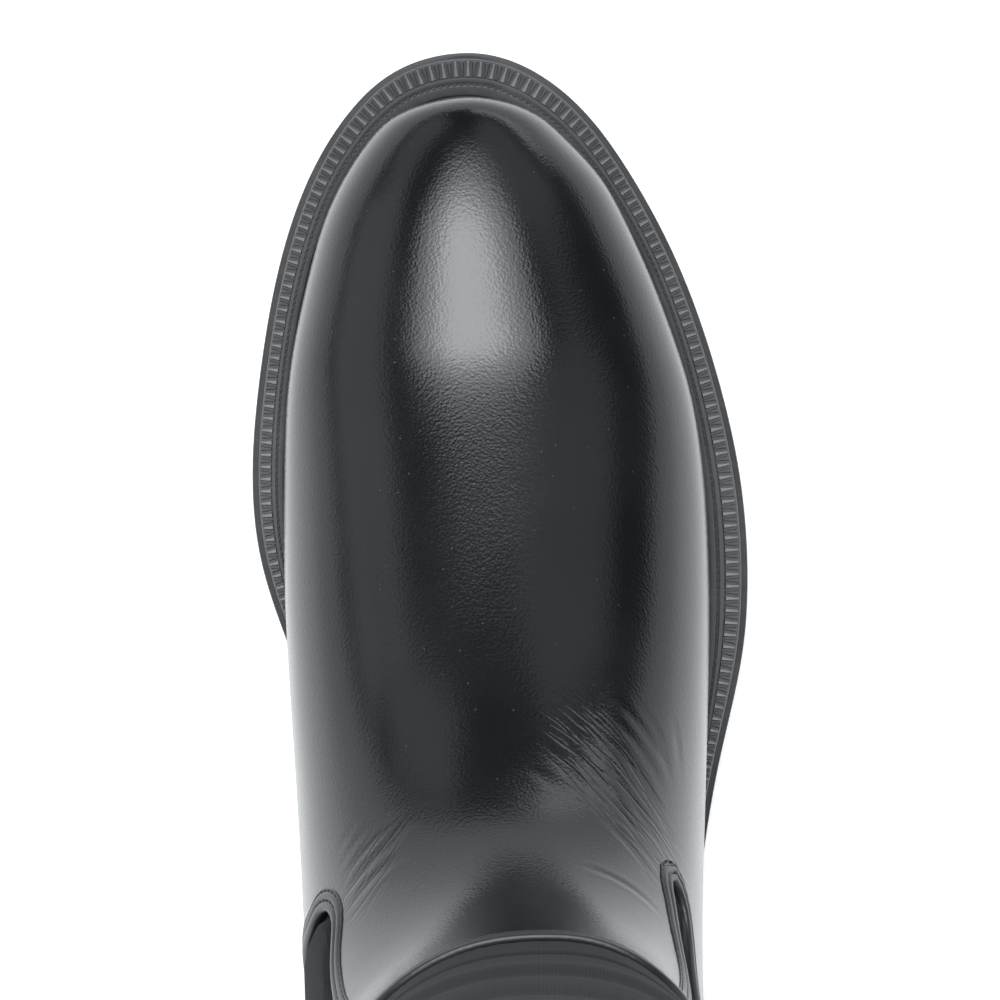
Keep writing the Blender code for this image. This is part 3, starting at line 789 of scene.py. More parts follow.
def prism(name: str, outline: np.ndarray, x_from: float, x_to: float) -> bpy.types.Object:
    """A cutter: an outline of the side view, run across the boot.

    Args:
        name: name of the cutter.
        outline: points (station, height) in order.
        x_from: where it starts.
        x_to: where it ends.

    Returns:
        The closed cutter.
    """
    count = len(outline)
    bpy.ops.object.select_all(action="DESELECT")
    bpy.ops.mesh.primitive_circle_add(vertices=count, fill_type="NGON", radius=1.0)
    piece = named(name)
    x, y, _ = points_of(piece).T
    i = np.rint(np.arctan2(y, x) / TAU * count - 0.25 * count).astype(int) % count
    side = np.column_stack([np.full(count, x_from), outline])
    move_points(piece, upright(side)[i] * MM)
    with editing(piece):
        bpy.ops.mesh.extrude_region_move(TRANSFORM_OT_translate={"value": ((x_to - x_from) * MM, 0.0, 0.0)})
        bpy.ops.mesh.select_all(action="SELECT")
        bpy.ops.mesh.normals_make_consistent(inside=False)
    return piece


def apply(piece: bpy.types.Object, kind: str, **settings: object) -> None:
    """Add a modifier to a piece with its settings and apply it.

    Args:
        piece: the piece.
        kind: the modifier's type.
        settings: the modifier's values by name.
    """
    modifier = piece.modifiers.new(kind.lower(), kind)
    for key, setting in settings.items():
        setattr(modifier, key, setting)
    only(piece)
    bpy.ops.object.modifier_apply(modifier=modifier.name)


def cut(piece: bpy.types.Object, cutter: bpy.types.Object) -> None:
    """Cut a piece with a cutter and throw the cutter away."""
    apply(piece, "BOOLEAN", operation="DIFFERENCE", solver="EXACT", object=cutter)
    bpy.data.objects.remove(cutter, do_unlink=True)


def smooth(piece: bpy.types.Object, angle: float = 0.6) -> None:
    """Shade a piece smooth, with edges sharper than an angle left crisp."""
    only(piece)
    bpy.ops.object.shade_smooth_by_angle(angle=angle)


def normals_of(piece: bpy.types.Object) -> np.ndarray:
    """The vertex normals of a piece."""
    flat = np.zeros(len(piece.data.vertices) * 3)
    piece.data.vertex_normals.foreach_get("vector", flat)
    return flat.reshape(-1, 3)


def raise_skin(piece: bpy.types.Object, heights: np.ndarray) -> None:
    """Move a skin's points along their normals by heights in millimetres."""
    move_points(piece, points_of(piece) + normals_of(piece) * heights[:, None] * MM)


def joined_copies(name: str, models: Sequence[bpy.types.Object], places: np.ndarray) -> bpy.types.Object:
    """One mesh of many copies of small modelled pieces, which are then thrown away.

    Args:
        name: name of the joined piece.
        models: the pieces to copy, taken in turn.
        places: matrices (copies, 4, 4) in metres.

    Returns:
        The joined piece.
    """
    points, faces, start = [], [], 0
    shapes = [(points_of(model), [tuple(face.vertices) for face in model.data.polygons])
              for model in models]
    for i, place in enumerate(places):
        corners, sides = shapes[i % len(shapes)]
        points.append(corners @ place[:3, :3].T + place[:3, 3])
        faces += [tuple(start + corner for corner in side) for side in sides]
        start += len(corners)
    mesh = bpy.data.meshes.new(name)
    mesh.from_pydata(np.concatenate(points).tolist(), [], faces)
    piece = bpy.data.objects.new(name, mesh)
    bpy.context.scene.collection.objects.link(piece)
    for model in models:
        bpy.data.objects.remove(model, do_unlink=True)
    smooth(piece)
    return piece


def places_along(points: np.ndarray, along: np.ndarray, up: np.ndarray) -> np.ndarray:
    """Matrices that lay small pieces at points, their X along the line and their Z up.

    Args:
        points: places in millimetres.
        along: directions of the line.
        up: directions away from the surface.

    Returns:
        Matrices (points, 4, 4) in metres.
    """
    forward = unit(along - (along * up).sum(1, keepdims=True) * up)
    places = np.tile(np.eye(4), (len(points), 1, 1))
    places[:, :3, 0] = forward
    places[:, :3, 1] = np.cross(up, forward)
    places[:, :3, 2] = up
    places[:, :3, 3] = points * MM
    return places


@dataclass(frozen=True)
class StitchRow:
    """A row of thread stitches along a closed line."""

    length: float
    thickness: float
    pitch: float
    sink: float = 0.35

    def model(self) -> bpy.types.Object:
        """One stitch: a bead of thread whose two ends dive into their holes."""
        bpy.ops.object.select_all(action="DESELECT")
        bpy.ops.mesh.primitive_uv_sphere_add(segments=8, ring_count=6, radius=0.5)
        stitch = named("one_stitch")
        with editing(stitch):
            quarter = math.pi / 2.0
            bpy.ops.transform.rotate(value=quarter, orient_axis="Y", center_override=(0.0, 0.0, 0.0))
            bpy.ops.transform.resize(value=(self.length * MM, self.thickness * MM, self.thickness * MM))
        points = points_of(stitch)
        ends = points[:, 0] / (self.length * MM / 2.0)
        points[:, 2] -= self.sink * self.thickness * MM * ends ** 4
        points[:, 1] *= 1.0 + 0.35 * ends ** 2 * (1.0 - ends ** 2)
        move_points(stitch, points)
        return stitch

    def sew(self, name: str, loop: SurfaceLoop) -> bpy.types.Object:
        """Lay stitches along a line.

        Args:
            name: name of the joined piece.
            loop: the line, with normals that point away from what is sewn.

        Returns:
            All stitches as one piece.
        """
        even = loop.spaced(int(round(loop.length() / self.pitch)))
        return joined_copies(name, [self.model()], places_along(even.points, even.tangents(), even.normals))


Number = Union[float, "Value"]
Given = Union[float, Tuple[float, ...], "Value"]


class Value:
    """A shader socket whose arithmetic adds Math nodes."""

    def __init__(self, paint: "Paint", socket: bpy.types.NodeSocket) -> None:
        """Wrap a socket of a paint's node tree."""
        self.paint = paint
        self.socket = socket

    def __add__(self, other: Number) -> "Value":
        """Sum."""
        return self.paint.math("ADD", self, other)

    def __radd__(self, other: Number) -> "Value":
        """Sum, with the value on the right."""
        return self.paint.math("ADD", other, self)

    def __sub__(self, other: Number) -> "Value":
        """Difference."""
        return self.paint.math("SUBTRACT", self, other)

    def __rsub__(self, other: Number) -> "Value":
        """Difference, with the value on the right."""
        return self.paint.math("SUBTRACT", other, self)

    def __mul__(self, other: Number) -> "Value":
        """Product."""
        return self.paint.math("MULTIPLY", self, other)

    def __rmul__(self, other: Number) -> "Value":
        """Product, with the value on the right."""
        return self.paint.math("MULTIPLY", other, self)


class Paint:
    """One material and its node tree."""

    def __init__(self, name: str) -> None:
        """Start a new material with a Principled shader."""
        self.made = bpy.data.materials.new(name)
        self.made.use_nodes = True
        self.tree = self.made.node_tree
        self.shader = self.tree.nodes["Principled BSDF"]

    def feed(self, socket: bpy.types.NodeSocket, given: Given) -> None:
        """Link a value into a socket, or set a number or colour on it."""
        if isinstance(given, Value):
            self.tree.links.new(given.socket, socket)
        elif isinstance(given, tuple) and socket.type == "RGBA":
            socket.default_value = (*given, 1.0)
        else:
            socket.default_value = given

    def node(self, kind: str, settings: Dict[str, object], inputs: Dict[Union[str, int], Given],
             output: Union[str, int] = 0) -> Value:
        """Add a node.

        Args:
            kind: the node's type.
            settings: the node's own settings, set first.
            inputs: values or links of its sockets, by name or number.
            output: which output is wanted.

        Returns:
            The output as a value.
        """
        made = self.tree.nodes.new(kind)
        for key, setting in settings.items():
            setattr(made, key, setting)
        for key, given in inputs.items():
            self.feed(made.inputs[key], given)
        return Value(self, made.outputs[output])

    def math(self, operation: str, first: Number, second: Number = 0.0) -> Value:
        """One Math node."""
        return self.node("ShaderNodeMath", {"operation": operation}, {0: first, 1: second})

    def place(self) -> Value:
        """Object coordinates, in metres."""
        return self.node("ShaderNodeTexCoord", {}, {}, "Object")

    def axes(self, vector: Value) -> List[Value]:
        """The three numbers of a vector."""
        made = self.node("ShaderNodeSeparateXYZ", {}, {"Vector": vector}).socket.node
        return [Value(self, socket) for socket in made.outputs]

    def noise(self, vector: Value, size: float, detail: float = 2.0, roughness: float = 0.5) -> Value:
        """Cloudy noise with lumps of a size in millimetres."""
        return self.node("ShaderNodeTexNoise", {}, {"Vector": vector, "Scale": 1.0 / (size * MM),
                                                    "Detail": detail, "Roughness": roughness}, "Fac")

    def cells(self, vector: Value, size: float) -> Value:
        """Distance to the middle of cells of a size in millimetres."""
        return self.node("ShaderNodeTexVoronoi", {}, {"Vector": vector, "Scale": 1.0 / (size * MM)},
                         "Distance")

    def step(self, value: Value, low: float, high: float) -> Value:
        """A soft step from 0 at low to 1 at high."""
        return self.node("ShaderNodeMapRange", {"interpolation_type": "SMOOTHSTEP"},
                         {"Value": value, 1: low, 2: high})

    def mix(self, factor: Value, first: Union[Color, Value], second: Union[Color, Value]) -> Value:
        """A colour between two others."""
        return self.node("ShaderNodeMix", {"data_type": "RGBA"}, {0: factor, 6: first, 7: second}, 2)

    def stretched(self, vector: Value, turn: float, sizes: Tuple[float, float, float]) -> Value:
        """Coordinates turned about the upright and measured in lumps of three sizes in millimetres."""
        turned = self.node("ShaderNodeMapping", {}, {"Vector": vector, "Rotation": (0.0, 0.0, turn)})
        scale = tuple(1.0 / (size * MM) for size in sizes)
        return self.node("ShaderNodeVectorMath", {"operation": "MULTIPLY"}, {0: turned, 1: scale})

    def bump(self, height: Value, depth: float) -> None:
        """Drive the shader's normal by a height field of a depth in millimetres."""
        inputs = {"Strength": 1.0, "Distance": depth * MM, "Height": height}
        normal = self.node("ShaderNodeBump", {}, inputs)
        self.feed(self.shader.inputs["Normal"], normal)

    def set(self, **inputs: Given) -> None:
        """Set the shader's sockets, with underscores for the spaces in their names."""
        for key, given in inputs.items():
            self.feed(self.shader.inputs[key.replace("_", " ")], given)


@dataclass(frozen=True)
class WrinkleField:
    """A patch of fine wrinkles that fan out, by its middle and half sizes in plan.

    A wrinkle runs back by lean for each millimetre to the side, and bends as it goes.
    """

    x: float
    station: float
    lean: float
    bend: float
    half_x: float
    half_back: float
    pitch: float
    depth: float


FINE_WRINKLES = (
    WrinkleField(21.0, 143.5, 1.09, 0.040, 17.0, 13.0, 1.5, 1.0),
    WrinkleField(-24.5, 160.5, -1.35, 0.045, 8.5, 8.0, 1.3, 0.8),
)


@dataclass(frozen=True)
class LeatherFinish:
    """Smooth black leather with a fine grain, a soft gloss and a few pale specks."""

    name: str
    color: Color = (0.0048, 0.0051, 0.0055)
    bloom: Color = (0.0074, 0.0078, 0.0082)
    roughness: float = 0.19
    speck_color: Color = (0.09, 0.09, 0.09)
    cloud: float = 26.0
    speck_spacing: float = 3.4
    pebble: float = 0.62
    pore: float = 0.34
    grain_depth: float = 0.042
    wrinkles: Tuple[WrinkleField, ...] = ()
    wrinkle_depth: float = 0.05

    def material(self) -> bpy.types.Material:
        """Build the node material."""
        paint = Paint(self.name)
        place = paint.place()
        cloud = paint.noise(place, self.cloud, 3.0)
        pores = paint.noise(place, self.pore, 2.0, 0.6)
        pebbles = paint.cells(place, self.pebble)
        specks = 1.0 - paint.step(paint.cells(place, self.speck_spacing), 0.035, 0.06)
        tone = paint.mix(paint.step(cloud, 0.35, 0.70), self.color, self.bloom)
        paint.set(Base_Color=paint.mix(specks * 0.35, tone, self.speck_color),
                  Roughness=self.roughness + (cloud - 0.5) * 0.10 + (pores - 0.5) * 0.12)
        height = pebbles * 0.55 + pores * 0.45 + specks * 0.5
        for field in self.wrinkles:
            height = height + self.wrinkled(paint, place, field) * (self.wrinkle_depth / self.grain_depth)
        paint.bump(height, self.grain_depth)
        return paint.made

    def wrinkled(self, paint: Paint, place: Value, field: WrinkleField) -> Value:
        """The height of one patch of fine wrinkles, which fades out at its rim.

        Args:
            paint: the material's paint.
            place: object coordinates.
            field: the patch.

        Returns:
            A height around 0.
        """
        x, y, _ = paint.axes(place)
        aside = x * (1.0 / MM) - field.x
        back = SOLE_LENGTH / 2.0 - field.station - y * (1.0 / MM)
        behind = back - aside * field.lean - aside * aside * (field.bend / 2.0)
        spread = aside * (1.0 / field.half_x)
        reach = behind * (1.0 / field.half_back)
        mask = 1.0 - paint.step(spread * spread + reach * reach, 0.15, 1.0)
        slant = field.pitch * math.hypot(1.0, field.lean)
        lines = paint.node("ShaderNodeCombineXYZ", {}, {0: behind * (1.0 / slant),
                                                        1: aside * (0.14 / field.pitch)})
        ridges = paint.node("ShaderNodeTexNoise", {}, {"Vector": lines, "Scale": 1.0, "Detail": 1.5}, "Fac")
        grooves = 1.0 - paint.step(paint.math("ABSOLUTE", ridges - 0.5), 0.0, 0.09)
        return ((ridges - 0.5) * 0.8 - grooves) * mask * field.depth


@dataclass(frozen=True)
class FabricFinish:
    """Matte stretch fabric, a fine knit that follows the leg."""

    name: str
    color: Color = (0.017, 0.0165, 0.0185)
    light: Color = (0.028, 0.0273, 0.0302)
    wale: float = 0.62
    course: float = 0.48
    depth: float = 0.05
    roughness: float = 0.86
    sheen: float = 0.03
    sheen_roughness: float = 0.45
    specular: float = 0.05

    def material(self) -> bpy.types.Material:
        """Build the node material."""
        paint = Paint(self.name)
        flat = paint.node("ShaderNodeUVMap", {"uv_map": "UVMap"}, {})
        place = paint.place()
        u, v, _ = paint.axes(flat)
        course = paint.math("SINE", v * (TAU / (self.course * MM)))
        lean = course * 0.9
        wale = paint.math("SINE", u * (TAU / (self.wale * MM)) + lean)
        fuzz = paint.noise(place, 0.35, 3.0, 0.65)
        cloud = paint.noise(place, 18.0, 3.0)
        knit = wale * 0.30 + course * 0.18 + 0.5
        tone = paint.mix(paint.step(knit * 0.6 + fuzz * 0.6, 0.35, 0.95), self.color, self.light)
        paint.set(Base_Color=tone, Roughness=self.roughness + (cloud - 0.5) * 0.12,
                  Sheen_Weight=self.sheen, Sheen_Roughness=self.sheen_roughness,
                  Specular_IOR_Level=self.specular)
        paint.bump(knit * 0.7 + fuzz * 0.5, self.depth)
        return paint.made


@dataclass(frozen=True)
class RubberFinish:
    """Moulded black rubber, satin, with paler and rougher dusty patches and scuffs."""

    name: str
    color: Color = (0.026, 0.027, 0.029)
    dust: Color = (0.058, 0.060, 0.062)
    roughness: float = 0.52
    grain: float = 0.28
    depth: float = 0.02

    def material(self) -> bpy.types.Material:
        """Build the node material."""
        paint = Paint(self.name)
        place = paint.place()
        cloud = paint.noise(place, 14.0, 4.0, 0.6)
        grain = paint.noise(place, self.grain, 2.0)
        scuffs = paint.noise(paint.stretched(place, 0.4, (9.0, 1.1, 2.0)), 1000.0, 3.0)
        dusty = paint.step(cloud * 0.7 + scuffs * 0.3, 0.42, 0.75)
        paint.set(Base_Color=paint.mix(dusty, self.color, self.dust),
                  Roughness=self.roughness + (grain - 0.5) * 0.22 + dusty * 0.10)
        paint.bump(grain * 0.8 + cloud * 0.6, self.depth)
        return paint.made


@dataclass(frozen=True)
class ThreadFinish:
    """Waxed sewing thread."""

    name: str
    color: Color = (0.030, 0.030, 0.032)
    light: Color = (0.085, 0.086, 0.088)
    roughness: float = 0.50
    ply: float = 0.34

    def material(self) -> bpy.types.Material:
        """Build the node material."""
        paint = Paint(self.name)
        place = paint.place()
        x, y, z = paint.axes(place)
        strands = paint.math("SINE", (x + y + z) * (TAU / (self.ply * MM))) * 0.5 + 0.5
        wear = paint.noise(place, 2.2, 2.0)
        paint.set(Base_Color=paint.mix(strands * 0.6 + wear * 0.3, self.color, self.light),
                  Roughness=self.roughness + (wear - 0.5) * 0.2)
        paint.bump(strands, 0.03)
        return paint.made


@dataclass(frozen=True)
class SockFinish:
    """Dark woven textile over the insole board."""

    name: str
    color: Color = (0.040, 0.038, 0.037)
    light: Color = (0.070, 0.067, 0.064)
    thread: float = 0.7

    def material(self) -> bpy.types.Material:
        """Build the node material."""
        paint = Paint(self.name)
        place = paint.place()
        x, y, _ = paint.axes(place)
        warp = paint.math("SINE", x * (TAU / (self.thread * MM)))
        weft = paint.math("SINE", y * (TAU / (self.thread * MM)))
        weave = warp * weft * 0.5 + 0.5
        wear = paint.noise(place, 22.0, 3.0)
        paint.set(Base_Color=paint.mix(weave * 0.6 + wear * 0.4, self.color, self.light),
                  Roughness=0.85 + (wear - 0.5) * 0.1)
        paint.bump(weave, 0.08)
        return paint.made


def dress(piece: bpy.types.Object, material: bpy.types.Material, node: str = "") -> None:
    """Give a piece its material and its body, and report it.

    Args:
        piece: the piece, in place.
        material: its finish.
        node: the solid that the piece stands for, if any.
    """
    piece.data.materials.clear()
    piece.data.materials.append(material)
    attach(piece, BODY)
    if node:
        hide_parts(node)
    triangles = sum(len(face.vertices) - 2 for face in piece.data.polygons)
    LOG.info("%s: %d triangles", piece.name, triangles)


@dataclass
class SoleUnit:
    """Moulded rubber sole: a full rand over a set-back tread, with arch, heel and slotted lugs."""

    plan: SolePlan
    rand_height: float = 7.0
    edge_round: float = 0.6
    groove_drop: float = 3.0
    groove_half: float = 0.35
    groove_depth: float = 0.4
    tread_setback: float = 1.3
    tread_taper: float = 1.8
    tread_round: float = 1.4
    step_drop: float = 0.4
    round_share: float = 0.3
    slot_width: float = 4.6
    slot_depth: float = 3.4
    slot_slant: float = 0.22
    slot_inner_end: float = 13.0
    slot_reach: float = 70.0
    slot_round: float = 0.7
    crisp_angle: float = 0.7
    loop_steps: int = 230
    flat_steps: int = 5
    slots: Tuple[Tuple[float, float, int], ...] = ((24.0, 13.0, 9), (222.0, 12.5, 4))

    def side_profile(self) -> List[Tuple[float, Curve]]:
        """The sole's side from its top edge to its tread, as insets with heights along the sole."""
        def under_seat(drop: float) -> Curve:
            """Heights a distance under the seat."""
            return lambda station: self.plan.seat(station) - drop

        def over_tread(rise: float) -> Curve:
            """Heights a distance over the tread."""
            return lambda station: self.plan.tread(station) + rise

        rand, edge, drop, half = self.rand_height, self.edge_round, self.groove_drop, self.groove_half
        taper, ball, part = self.tread_taper, self.tread_round, self.round_share
        return [
            (edge, under_seat(0.0)),
            (part * edge, under_seat(part * edge)),
            (0.0, under_seat(edge)),
            (0.0, under_seat(drop - half)),
            (self.groove_depth, under_seat(drop - part * half)),
            (self.groove_depth, under_seat(drop + part * half)),
            (0.0, under_seat(drop + half)),
            (0.0, under_seat(rand - edge)),
            (part * edge, under_seat(rand - part * edge)),
            (edge, under_seat(rand)),
            (self.tread_setback, under_seat(rand)),
            (self.tread_setback, under_seat(rand + self.step_drop)),
            (taper, over_tread(ball)),
            (taper + part * ball, over_tread(part * ball)),
            (taper + ball, over_tread(0.0)),
        ]

    def turns(self) -> np.ndarray:
        """The turns at which the sole is sampled, with both edges of the heel breast among them."""
        even = np.linspace(0.0, np.pi, self.loop_steps + 1)
        breast = turn_of(np.array([HEEL_BREAST, HEEL_BREAST + BREAST_SLOPE]))
        far = np.abs(even[:, None] - breast[None, :]).min(1) > np.pi / self.loop_steps / 2.0
        return np.sort(np.concatenate([even[far], breast]))

    def net(self) -> np.ndarray:
        """The whole skin as a tube along the sole, which closes to a line at toe and heel."""
        turns = self.turns()
        profile = self.side_profile()
        columns = []
        for sign, loop in ((1, turns), (-1, TAU - turns)):
            lines = [(self.plan.edge(loop, inset), height) for inset, height in profile]
            columns.append(lines[::sign])
        inner, outer = columns
        tube = self.bridge(outer[-1], inner[0]) + inner + self.bridge(inner[-1], outer[0]) + outer
        tube.append(tube[0])
        return upright(np.stack([np.column_stack([line, height(line[:, 1])]) for line, height in tube], 1))

    def bridge(self, first: Tuple[np.ndarray, Curve], second: Tuple[np.ndarray, Curve]
               ) -> List[Tuple[np.ndarray, Curve]]:
        """Lines that span the sole from one side's line to the other's."""
        shares = np.linspace(0.0, 1.0, self.flat_steps + 1)[1:-1]
        return [(first[0] + share * (second[0] - first[0]), first[1]) for share in shares]

    def lug_cutter(self) -> bpy.types.Object:
        """All slots between the lugs, as slanted blocks with a rounded root."""
        blocks = []
        for first, pitch, count in self.slots:
            for i in range(count):
                station = first + i * pitch
                height = 2.0 * (float(self.plan.tread(station)) + self.slot_depth)
                for sign in (-1.0, 1.0):
                    middle = sign * (self.slot_inner_end + self.slot_reach / 2.0)
                    bpy.ops.object.select_all(action="DESELECT")
                    bpy.ops.mesh.primitive_cube_add(
                        size=1.0, location=(middle * MM, (SOLE_LENGTH / 2.0 - station) * MM, 0.0),
                        rotation=(0.0, 0.0, -sign * self.slot_slant),
                        scale=(self.slot_reach * MM, self.slot_width * MM, height * MM))
                    blocks.append(named("lug_slot"))
        bpy.ops.object.select_all(action="DESELECT")
        for block in blocks:
            block.select_set(True)
        bpy.context.view_layer.objects.active = blocks[0]
        bpy.ops.object.transform_apply(location=True, rotation=True, scale=True)
        bpy.ops.object.join()
        apply(blocks[0], "BEVEL", width=self.slot_round * MM, segments=2, limit_method="ANGLE",
              angle_limit=1.0)
        return blocks[0]

    def build(self) -> None:
        """Model the sole, cut its slots and dress it."""
        sole = net_piece("sole_unit", self.net())
        with editing(sole):
            bpy.ops.mesh.normals_make_consistent(inside=False)
        cut(sole, self.lug_cutter())
        smooth(sole, self.crisp_angle)
        dress(sole, RubberFinish("sole_rubber").material(), "outsole")


@dataclass
class WeltStrip:
    """Rubber strip round the foot: a smooth rim, a band of wedge ribs, a bead and a sewn channel."""

    plan: SolePlan
    setback: float = 1.4
    seat_gap: float = 0.3
    side_gap: float = 0.35
    loop_steps: int = 560
    rib_floor: float = 3.25
    rib_rise: float = 0.55
    low_rise: float = 0.30
    rib_pitch: float = 1.25
    rib_thick: float = 1.10
    rib_thin: float = 0.42
    band_start: float = 0.075
    band_end: float = 0.430
    channel: float = 0.620
    channel_rise: float = 3.56
    top_width: float = 0.62
    top_length: float = 0.93
    fine_steps: int = 8000
    crisp_angle: float = 0.5
    stitch: StitchRow = StitchRow(1.15, 0.50, 1.4)

    PROFILE = (
        (0.000, 0.00), (0.000, 1.70), (0.010, 2.25), (0.030, 2.75), (0.055, 3.10), (0.070, 3.22),
        (0.075, 3.25), (0.430, 3.25), (0.440, 3.52), (0.460, 3.66), (0.500, 3.70), (0.570, 3.68),
        (0.595, 3.56), (0.620, 3.52), (0.645, 3.56), (0.670, 3.68), (0.800, 3.66), (0.850, 3.55),
        (0.880, 3.20), (1.000, 3.00), (1.000, 0.00),
    )

    def width(self, loop: np.ndarray) -> np.ndarray:
        """Width of the strip from its outer edge to the leather."""
        return self.plan.margin(loop) - self.side_gap - self.setback

    def line(self, loop: np.ndarray, share: float, rise: float) -> np.ndarray:
        """A line round the strip.

        Args:
            loop: angles round the sole.
            share: place across the strip, 0 at its outer edge and 1 at the leather.
            rise: height over the strip's underside.

        Returns:
            Points in boot coordinates.
        """
        plan = self.plan.edge(loop, self.setback + share * self.width(loop))
        return upright(np.column_stack([plan, self.plan.seat(plan[:, 1]) + self.seat_gap + rise]))

    def spaced_angles(self, share: float, pitch: float) -> np.ndarray:
        """Angles round the sole at which a line of the strip is divided evenly, in an even count."""
        loop = np.linspace(0.0, TAU, self.fine_steps)
        line = self.line(loop, share, 0.0)
        run = np.concatenate([[0.0], np.cumsum(np.linalg.norm(np.diff(line, axis=0), axis=1))])
        count = 2 * int(round(run[-1] / pitch / 2.0))
        return np.interp(np.arange(count) * run[-1] / count, run, loop)

    def rib(self, name: str, outer: float, inner: float, rise: float) -> bpy.types.Object:
        """One wedge rib of unit length, with its top drawn in.

        Args:
            name: name of the model.
            outer: thickness at the outer end.
            inner: thickness at the inner end.
            rise: height.

        Returns:
            The model, with X from the outer end to the inner.
        """
        bpy.ops.object.select_all(action="DESELECT")
        bpy.ops.mesh.primitive_cube_add(size=1.0)
        rib = named(name)
        with editing(rib):
            bpy.ops.transform.translate(value=(0.0, 0.0, 0.5))
            bpy.ops.transform.resize(value=(1.0, MM, rise * MM), center_override=(0.0, 0.0, 0.0))
        points = points_of(rib)
        thickness = np.where(points[:, 0] > 0.0, inner, outer)
        top = points[:, 2] > 0.5 * rise * MM
        points[:, 1] *= thickness * np.where(top, self.top_width, 1.0)
        points[:, 0] *= np.where(top, self.top_length, 1.0)
        move_points(rib, points)
        return rib

    def build_ribs(self) -> List[bpy.types.Object]:
        """All ribs round the welt: high ones thick at the inner end, and between them low ones."""
        middle = (self.band_start + self.band_end) / 2.0
        loop = self.spaced_angles(middle, self.rib_pitch)
        outer = self.line(loop, self.band_start, self.rib_floor)
        inner = self.line(loop, self.band_end, self.rib_floor)
        across = inner - outer
        along = self.line(loop + 1e-3, middle, 0.0) - self.line(loop - 1e-3, middle, 0.0)
        up = unit(np.cross(along, across))
        up *= np.sign(up[:, 2:])
        places = places_along((inner + outer) / 2.0, across, up)
        places[:, :3, 0] *= np.linalg.norm(across, axis=1)[:, None] * MM
        models = [self.rib("rib_in", self.rib_thin, self.rib_thick, self.rib_rise),
                  self.rib("rib_out", self.rib_thick, self.rib_thin, self.low_rise)]
        return [joined_copies("welt_ribs_%d" % (i + 1), [model], places[i::2])
                for i, model in enumerate(models)]

    def build(self) -> None:
        """Model strip, ribs and stitches, and dress them."""
        loop = np.arange(self.loop_steps) * TAU / self.loop_steps
        net = np.stack([self.line(loop, share, rise) for share, rise in self.PROFILE], 1)
        strip = ring_piece("welt_strip", net)
        smooth(strip, self.crisp_angle)
        rubber = RubberFinish("welt_rubber", (0.042, 0.044, 0.046), (0.078, 0.081, 0.084), 0.50)
        dress(strip, rubber.material(), "welt")
        # The high ribs wear a copy of the welt rubber painted three to four times paler, a painted
        # highlight for the light on their tops; the low ribs keep the welt rubber.
        painted_highlight_finish = RubberFinish("painted_highlight_rubber", (0.150, 0.153, 0.156), (0.210, 0.213, 0.216), 0.40)
        for ribs, finish in zip(self.build_ribs(), (painted_highlight_finish, rubber)):
            dress(ribs, finish.material())
        sewn = self.line(loop, self.channel, self.channel_rise)
        up = np.tile([0.0, 0.0, 1.0], (len(sewn), 1))
        stitches = self.stitch.sew("welt_stitches", SurfaceLoop(sewn, up))
        dress(stitches, ThreadFinish("welt_thread").material())


LEATHER_CREASES = [
    CreaseRow(5.5, 141.5, 10.5, 145.6, 0.3, 0.08, 0.8),
    CreaseRow(8.0, 137.5, 18.5, 148.6, 0.6, 0.10, 0.9),
    CreaseRow(12.9, 138.5, 25.6, 154.1, 0.8, 0.15, 0.9),
    CreaseRow(14.0, 134.0, 27.6, 151.8, 0.9, 0.11, 0.8),
    CreaseRow(17.6, 135.2, 29.0, 150.4, 0.8, 0.14, 0.9),
    CreaseRow(20.5, 136.7, 30.7, 150.9, 0.9, 0.17, 0.9),
    CreaseRow(19.8, 130.6, 31.0, 146.0, 0.9, 0.12, 0.8),
    CreaseRow(22.0, 129.3, 31.8, 142.2, 0.8, 0.13, 0.9),
    CreaseRow(26.8, 131.0, 32.6, 141.0, 0.6, 0.10, 0.8),
    CreaseRow(29.4, 136.0, 32.6, 144.9, 0.5, 0.11, 0.8),
    CreaseRow(33.6, 134.0, 34.6, 143.0, 0.2, 0.11, 0.9),
    CreaseRow(15.2, 158.6, 29.4, 167.6, 1.3, 0.13, 0.7),
    CreaseRow(17.0, 149.0, 27.5, 160.5, 0.8, 0.08, 1.0),
    CreaseRow(-19.5, 155.0, -28.8, 165.2, -0.7, 0.13, 0.9),
    CreaseRow(-21.5, 153.4, -29.6, 163.0, -0.6, 0.12, 0.8),
    CreaseRow(-24.5, 152.6, -30.4, 161.2, -0.5, 0.11, 0.8),
    CreaseRow(-27.4, 152.6, -31.0, 159.6, -0.4, 0.09, 0.8),
    CreaseRow(-18.5, 157.8, -27.4, 166.8, -0.8, 0.11, 0.9),
    CreaseRow(-16.0, 151.0, -23.4, 158.6, -0.6, 0.08, 1.0),
]


